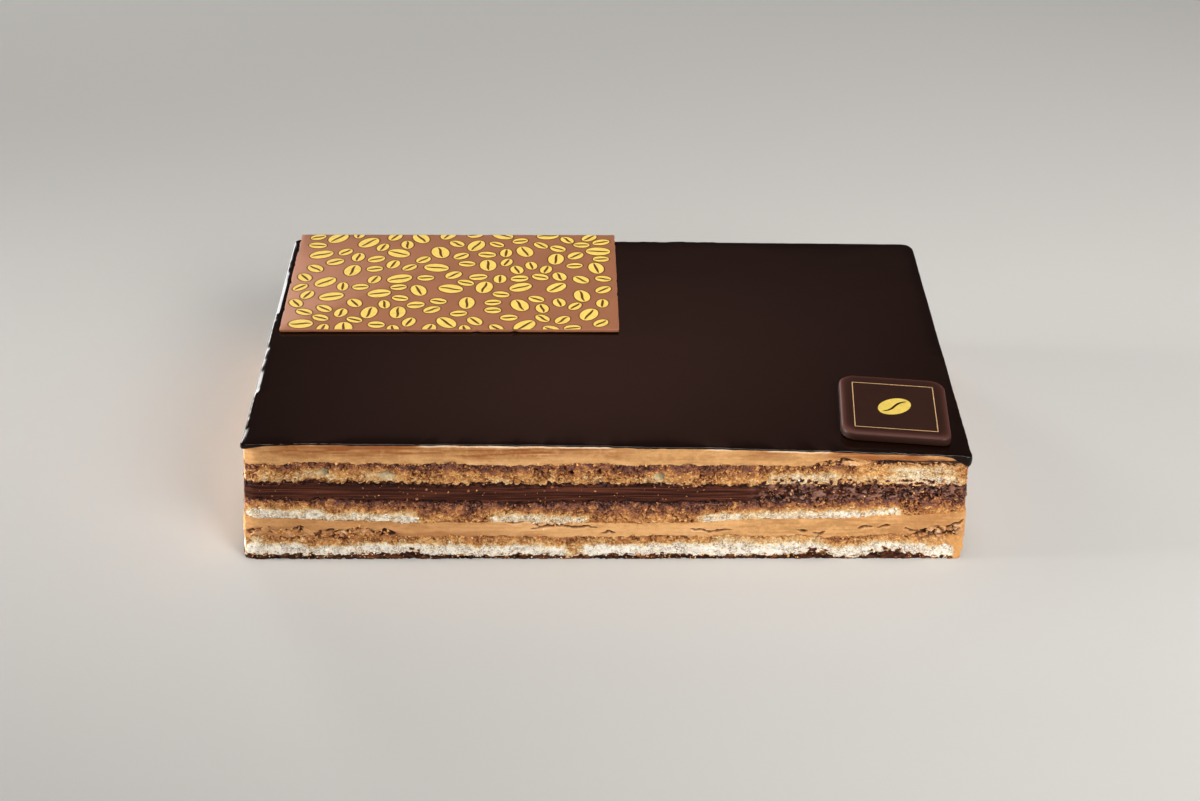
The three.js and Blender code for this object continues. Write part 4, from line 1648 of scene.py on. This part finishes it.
class OPERACAKE_OT_badge(bpy.types.Operator):
    """Makes the moulded badge with its gold frame line and a plain bean"""

    bl_idname = "opera_cake.badge"
    bl_label = "Badge"

    def execute(self, context):
        rest = Rest("badge")
        width, depth, thickness = rest.size
        outline = rounded_outline(width, depth, BADGE_RADII, 0.8)
        profile = [(share * thickness, inset) for share, inset in BADGE_PROFILE]
        points, faces = plate_shape(outline, rest.size, profile)
        # painted highlight: the upper bevel is tinted lighter
        edge = [smooth(inset, 2.2, 0.4) * (share > 0.8) for share, inset in BADGE_PROFILE]
        marks = {"edge": np.repeat(edge, len(outline))}
        dark = settings().chocolate.badge
        bevel_highlight = linear("#4C2C24")
        material = chocolate_material("dark_chocolate_moulded_satin", dark, 0.48, bevel_highlight, 7, 1.26)
        made = piece("badge_moulded", rest.placed(points), faces, material, marks, sharp=40)
        mounted(made, "badge", "badge")

        side = settings().gold.frame_size / MM
        outer = rounded_outline(side, side, [0.15] * 4, side)
        inner = rounded_outline(side - 2 * FRAME_LINE, side - 2 * FRAME_LINE, [0.1] * 4, side)
        low, high = thickness - PRINT_SUNK, thickness + PRINT_PROUD
        rings = []
        for ring, height in ((outer, low), (outer, high), (inner, high), (inner, low)):
            rings.append(np.column_stack([ring - (0, FRAME_FORWARD), np.full(len(ring), height)]))
        numbers, faces = stacked(4, len(outer))
        faces.extend(ring_quads(numbers[3], numbers[0]))
        line_gold = gold_material("gold_cocoa_butter_line", linear("#CFA675"))
        points = rest.placed(np.concatenate(rings))
        made = piece("badge_frame_line", points, faces, line_gold, smooth_faces=False)
        mounted(made, "badge")

        bean = BADGE_BEAN
        line = slit_line(0.9 * bean["length"], bean["slit"], bean["swing"])
        bright = gold_material("gold_cocoa_butter_bean", linear("#E4C55C"))
        for name, shape, look, proud in (
            ("badge_bean", oval(bean["length"], bean["width"]), bright, PRINT_PROUD),
            ("badge_bean_slit", line, material, SLIT_PROUD),
        ):
            shape = turned(shape, math.radians(bean["turn"]), (0, -FRAME_FORWARD))
            points, faces = printed([shape], rest, thickness, proud)
            mounted(piece(name, points, faces, look, smooth_faces=False), "badge")
        return {"FINISHED"}


# ---------------------------------------------------------------- crumbs


def crumb_shape():
    """The twelve corners and twenty faces of an icosahedron one across."""
    golden = (1 + 5**0.5) / 2
    corners = []
    for a in (-1, 1):
        for b in (-golden, golden):
            corners.extend([(a, b, 0), (0, a, b), (b, 0, a)])
    corners = np.array(corners, float)
    corners /= 2 * np.linalg.norm(corners[0])
    edge = min(np.linalg.norm(corners[0] - other) for other in corners[1:]) * 1.01
    faces = []
    for i in range(12):
        for j in range(i + 1, 12):
            for k in range(j + 1, 12):
                a, b, c = corners[[i, j, k]]
                if max(np.linalg.norm(a - b), np.linalg.norm(b - c), np.linalg.norm(a - c)) > edge:
                    continue
                faces.append((i, j, k) if np.dot(np.cross(b - a, c - a), a + b + c) > 0 else (i, k, j))
    return corners, np.array(faces)


def random_turns(rng, count):
    """As many random rotations as asked, as matrices."""
    q = rng.normal(size=(count, 4))
    w, x, y, z = (q / np.linalg.norm(q, axis=1)[:, None]).T
    return np.array(
        [
            [1 - 2 * (y * y + z * z), 2 * (x * y - z * w), 2 * (x * z + y * w)],
            [2 * (x * y + z * w), 1 - 2 * (x * x + z * z), 2 * (y * z - x * w)],
            [2 * (x * z - y * w), 2 * (y * z + x * w), 1 - 2 * (x * x + y * y)],
        ]
    ).transpose(2, 0, 1)


def crumbs(places, sizes, seed):
    """One joined mesh of small torn crumbs at the given places. Those at the foot lie flat on the floor."""
    rng = np.random.default_rng(seed)
    corners, triangles = crumb_shape()
    count = len(places)
    shapes = corners * rng.uniform(0.6, 1.35, (count, len(corners), 1))
    shapes = shapes * rng.uniform(0.55, 1.3, (count, 1, 3))
    shapes = np.einsum("nij,nkj->nki", random_turns(rng, count), shapes)
    points = shapes * np.asarray(sizes)[:, None, None] + np.asarray(places)[:, None, :]
    points[..., 2] = np.maximum(points[..., 2], 0)
    faces = triangles[None] + (np.arange(count) * len(corners))[:, None, None]
    return points.reshape(-1, 3), faces.reshape(-1, 3).tolist()


# Loose crumbs on the cut: the soaking of their crumb, its range on the sponge where they stick, and
# the slot of their finish.
CRUMB_KINDS = {
    "crumbs_pale": {"soak": 0.1, "from": 0.0, "to": 0.25, "slot": "sponge_bottom"},
    "crumbs_golden": {"soak": 0.42, "from": 0.25, "to": 0.8, "slot": "sponge_top"},
    "crumbs_dark": {"soak": 0.68, "from": 0.55, "to": 1.0, "slot": "sponge_middle"},
}
CRUMBS_ON_SPONGE = 2600
# Crumbs along the borders: the layer under the border, their kind, how many, and how far they
# reach below and above it.
BORDER_CRUMBS = (
    ("base_coat", "crumbs_pale", 110, (-0.5, 0.5)),
    ("base_coat", "crumbs_golden", 460, (-0.9, 0.5)),
    ("sponge_bottom", "crumbs_golden", 300, (-0.2, 0.8)),
    ("cream_lower", "crumbs_golden", 120, (-0.3, 0.3)),
    ("sponge_middle", "crumbs_dark", 240, (-0.3, 0.5)),
    ("ganache", "crumbs_dark", 240, (-0.3, 0.6)),
    ("ganache", "crumbs_dark", 260, (-5.5, -0.3)),
    ("ganache", "crumbs_golden", 40, (-5.5, -0.3)),
    ("sponge_top", "crumbs_golden", 320, (-0.2, 0.4)),
)
# More crumbs where the knife tore a layer: where, from which border and how far up, their kind and
# how many.
TORN_CRUMBS = (
    (CREAM_TORN, "sponge_bottom", 2.8, "crumbs_golden", 330),
    (CREAM_TORN, "sponge_bottom", 2.0, "crumbs_dark", 60),
    (CREAM_LUMPY, "sponge_top", 1.2, "crumbs_golden", 110),
    (GANACHE_CRUMBLY, "sponge_middle", 6.0, "crumbs_dark", 420),
    (GANACHE_CRUMBLY, "sponge_middle", 6.0, "crumbs_golden", 90),
)
CREAM_BEADS = 460  # beads of cream along its lower borders


def crumb_size(rng):
    """The size of one crumb: most are small."""
    return 0.28 + 0.5 * rng.random() ** 3


@functools.cache
def crumb_places():
    """Where crumbs stick to the cut side: for each kind, their points and sizes."""
    rng = np.random.default_rng(90)
    found = {kind: [] for kind in CRUMB_KINDS}
    for layer in SPONGES:
        side = sponge_side(layer)
        for _ in range(CRUMBS_ON_SPONGE // len(SPONGES)):
            row, column = side.near(rng.uniform(0, ROUND), rng.uniform(0.02, 0.98))
            soak = side.marks["soak"][row, column]
            fitting = [kind for kind, look in CRUMB_KINDS.items() if look["from"] <= soak <= look["to"]]
            size = crumb_size(rng)
            if fitting and side.marks["smear"][row, column] < 0.5:
                out = side.out[row, column] + 0.2 * size
                point = on_side(side.way[row, column], side.height[row, column], out)
                found[fitting[rng.integers(len(fitting))]].append((point, size))
    for layer, kind, count, (low, high) in BORDER_CRUMBS:
        for _ in range(count):
            way = rng.uniform(0, ROUND)
            size = crumb_size(rng)
            height = max(border(layer, way) + rng.uniform(low, high), 0.3 * size)
            if smeared(way, height) < 0.5:
                found[kind].append((on_side(way, height, rng.uniform(-0.05, 0.12) - worn(way)), size))
    for where, layer, reach, kind, count in TORN_CRUMBS:
        starts, ends = np.array(where).T
        shares = (ends - starts) / (ends - starts).sum()
        for _ in range(count):
            stretch = rng.choice(len(where), p=shares)
            way = rng.uniform(starts[stretch], ends[stretch])
            height = border(layer, way) + reach * rng.random() ** 1.3
            size = 1.2 * crumb_size(rng)
            found[kind].append((on_side(way, height, rng.uniform(-0.1, 0.2) - worn(way)), size))
    return found


class OPERACAKE_OT_crumbs(bpy.types.Operator):
    """Strews loose crumbs and beads of cream over the cut sides"""

    bl_idname = "opera_cake.crumbs"
    bl_label = "Crumbs"

    def execute(self, context):
        look = settings()
        for number, (kind, found) in enumerate(crumb_places().items()):
            fixed = CRUMB_KINDS[kind]
            material = crumb_material("joconde_sponge_" + kind, look.sponge, look.cream.cream, fixed["soak"])
            places, sizes = zip(*found)
            points, faces = crumbs(places, sizes, 92 + number)
            mounted(piece(kind, points, faces, material, smooth_faces=False), fixed["slot"])
        rng = np.random.default_rng(97)
        places, sizes = [], []
        for _ in range(CREAM_BEADS):
            way = rng.uniform(0, ROUND)
            height = border(rng.choice(("sponge_bottom", "sponge_top")), way) + rng.uniform(-0.25, 0.35)
            places.append(on_side(way, height, rng.uniform(0.0, 0.14) - worn(way)))
            sizes.append(crumb_size(rng))
        points, faces = crumbs(places, sizes, 98)
        material = buttercream_material("coffee_buttercream_beads", look.cream, look.chocolate.glaze)
        marks = {"tone": np.full(len(points), 0.6)}
        mounted(piece("cream_beads", points, faces, material, marks, smooth_faces=False), "cream_upper")
        return {"FINISHED"}


# ---------------------------------------------------------------- stage

# The camera: its place from the foot's middle in mm, how it is turned in degrees, and its lens.
EYE = (-4.812, -509.562, 328.031)
LOOK_DOWN = 31.565
TURN_RIGHT = 0.498
ROLL = 0.2275
LENS = 59.652
SENSOR = 36.0

FLOOR_SIZE = 8.0  # metres

# The lamps: where each one is and what it points at, its width and height, all in metres, and how wide
# its beam is in degrees. The settings hold its power.
LAMPS = {
    "top": {"at": (0.05, -0.15, 1.7), "aim": (0, 0, 0), "size": (0.8, 0.5), "beam": 180},
    "rim": {"at": (-0.62, 1.05, 0.34), "aim": (0, 0, 0), "size": (0.3, 0.55), "beam": 180},
    "left": {"at": (-0.8, 0, 0.09), "aim": (0, 0, 0.03), "size": (0.3, 0.08), "beam": 28},
    "front": {"at": (0.54, -0.58, 0.5), "aim": (0.25, 0, 0.02), "size": (0.6, 0.5), "beam": 74},
}
GLOW_TO = (0.02, 0.8434, 0.537)  # towards the middle of the room's glow
GLOW_REACH = (0.27, 0.3, 0.085)  # how far it reaches from there


def floor_material(name, colour):
    """Matt emulsion, rolled on board: a plain pale surface with the faintest clouds."""
    material, tree, place = new_material(name)
    cloud = add(tree, "ShaderNodeTexNoise", {"Vector": place, "Scale": per_metre(300), "Detail": 3.0})
    run = ((0.3, scaled(colour, 0.98)), (0.7, colour))
    shown = add(tree, "ShaderNodeValToRGB", {"Fac": cloud.outputs["Fac"]}, stops=run)
    finished(tree, {"Base Color": shown.outputs["Color"], "Roughness": 0.85})
    return material


def room_world(name, surround, glow):
    """A dim grey room with a soft warm glow on its far wall, which the glaze mirrors."""
    world = bpy.data.worlds.new(name)
    world.use_nodes = True
    tree = world.node_tree
    tree.nodes.clear()
    towards = add(tree, "ShaderNodeTexCoord").outputs["Generated"]
    away = add(tree, "ShaderNodeVectorMath", {0: towards, 1: GLOW_TO}, operation="SUBTRACT")
    away = add(tree, "ShaderNodeVectorMath", {0: away.outputs[0], 1: GLOW_REACH}, operation="DIVIDE")
    away = add(tree, "ShaderNodeVectorMath", {0: away.outputs[0]}, operation="LENGTH")
    inputs = {"Value": away.outputs["Value"], "To Min": 1.0, "To Max": 0.0}
    share = add(tree, "ShaderNodeMapRange", inputs, interpolation_type="SMOOTHSTEP")
    inputs = {0: share.outputs[0], COLOUR_A: opaque(surround), COLOUR_B: opaque(glow)}
    colour = add(tree, "ShaderNodeMix", inputs, data_type="RGBA")
    background = add(tree, "ShaderNodeBackground", {"Color": colour.outputs[COLOUR_OUT]})
    add(tree, "ShaderNodeOutputWorld", {"Surface": background.outputs[0]})
    return world


class OPERACAKE_OT_stage(bpy.types.Operator):
    """Sets up the camera, the floor, the lamps and the dim room"""

    bl_idname = "opera_cake.stage"
    bl_label = "Stage"

    def execute(self, context):
        scene = context.scene
        look = settings().stage
        data = bpy.data.cameras.new("camera")
        data.sensor_width = SENSOR
        data.lens = LENS
        camera = bpy.data.objects.new("camera", data)
        eye = Vector((MIDDLE[0] + EYE[0], MIDDLE[1] + EYE[1], EYE[2])) * MM
        camera.matrix_world = (
            Matrix.Translation(eye)
            @ Matrix.Rotation(math.radians(-TURN_RIGHT), 4, "Z")
            @ Matrix.Rotation(math.radians(90 - LOOK_DOWN), 4, "X")
            @ Matrix.Rotation(math.radians(ROLL), 4, "Z")
        )
        scene.collection.objects.link(camera)
        scene.camera = camera

        half = FLOOR_SIZE / 2 / MM
        corners = [(-half, -half, 0), (half, -half, 0), (half, half, 0), (-half, half, 0)]
        material = floor_material("emulsion_matt_pale", look.floor)
        piece("floor", corners, [(0, 1, 2, 3)], material, smooth_faces=False)

        for name, lamp in LAMPS.items():
            light = bpy.data.lights.new("lamp_" + name, "AREA")
            light.shape = "RECTANGLE"
            light.size, light.size_y = lamp["size"]
            light.spread = math.radians(lamp["beam"])
            light.energy = getattr(look, name + "_power")
            made = bpy.data.objects.new("lamp_" + name, light)
            made.location = lamp["at"]
            made.rotation_euler = (Vector(lamp["aim"]) - made.location).to_track_quat("-Z", "Y").to_euler()
            scene.collection.objects.link(made)

        scene.world = room_world("dim_room", look.surround, look.glow)
        scene.view_settings.view_transform = "Standard"
        scene.view_settings.look = "None"
        return {"FINISHED"}


# ---------------------------------------------------------------- the add-on

STEPS = (
    OPERACAKE_OT_stage,
    OPERACAKE_OT_chocolate_layers,
    OPERACAKE_OT_sponges,
    OPERACAKE_OT_creams,
    OPERACAKE_OT_glaze,
    OPERACAKE_OT_plate,
    OPERACAKE_OT_badge,
    OPERACAKE_OT_crumbs,
)


class OPERACAKE_PT_panel(bpy.types.Panel):
    """The cake's settings and the buttons that make its pieces"""

    bl_idname = "OPERACAKE_PT_panel"
    bl_label = "Opera cake"
    bl_space_type = "VIEW_3D"
    bl_region_type = "UI"
    bl_category = "Opera cake"

    def draw(self, context):
        cake = context.scene.opera_cake
        for group in (cake.sponge, cake.cream, cake.chocolate, cake.gold, cake.stage):
            box = self.layout.box()
            for name in group.__annotations__:
                box.prop(group, name)
        for step in STEPS:
            self.layout.operator(step.bl_idname)


CLASSES = (
    SpongeSettings,
    CreamSettings,
    ChocolateSettings,
    PrintSettings,
    StageSettings,
    CakeSettings,
    *STEPS,
    OPERACAKE_PT_panel,
)


def register():
    for item in CLASSES:
        bpy.utils.register_class(item)
    bpy.types.Scene.opera_cake = PointerProperty(type=CakeSettings)


def unregister():
    del bpy.types.Scene.opera_cake
    for item in reversed(CLASSES):
        bpy.utils.unregister_class(item)


def main():
    """Makes the whole cake."""
    register()
    for step in STEPS:
        group, name = step.bl_idname.split(".")
        getattr(getattr(bpy.ops, group), name)()


if __name__ == "__main__":
    main()
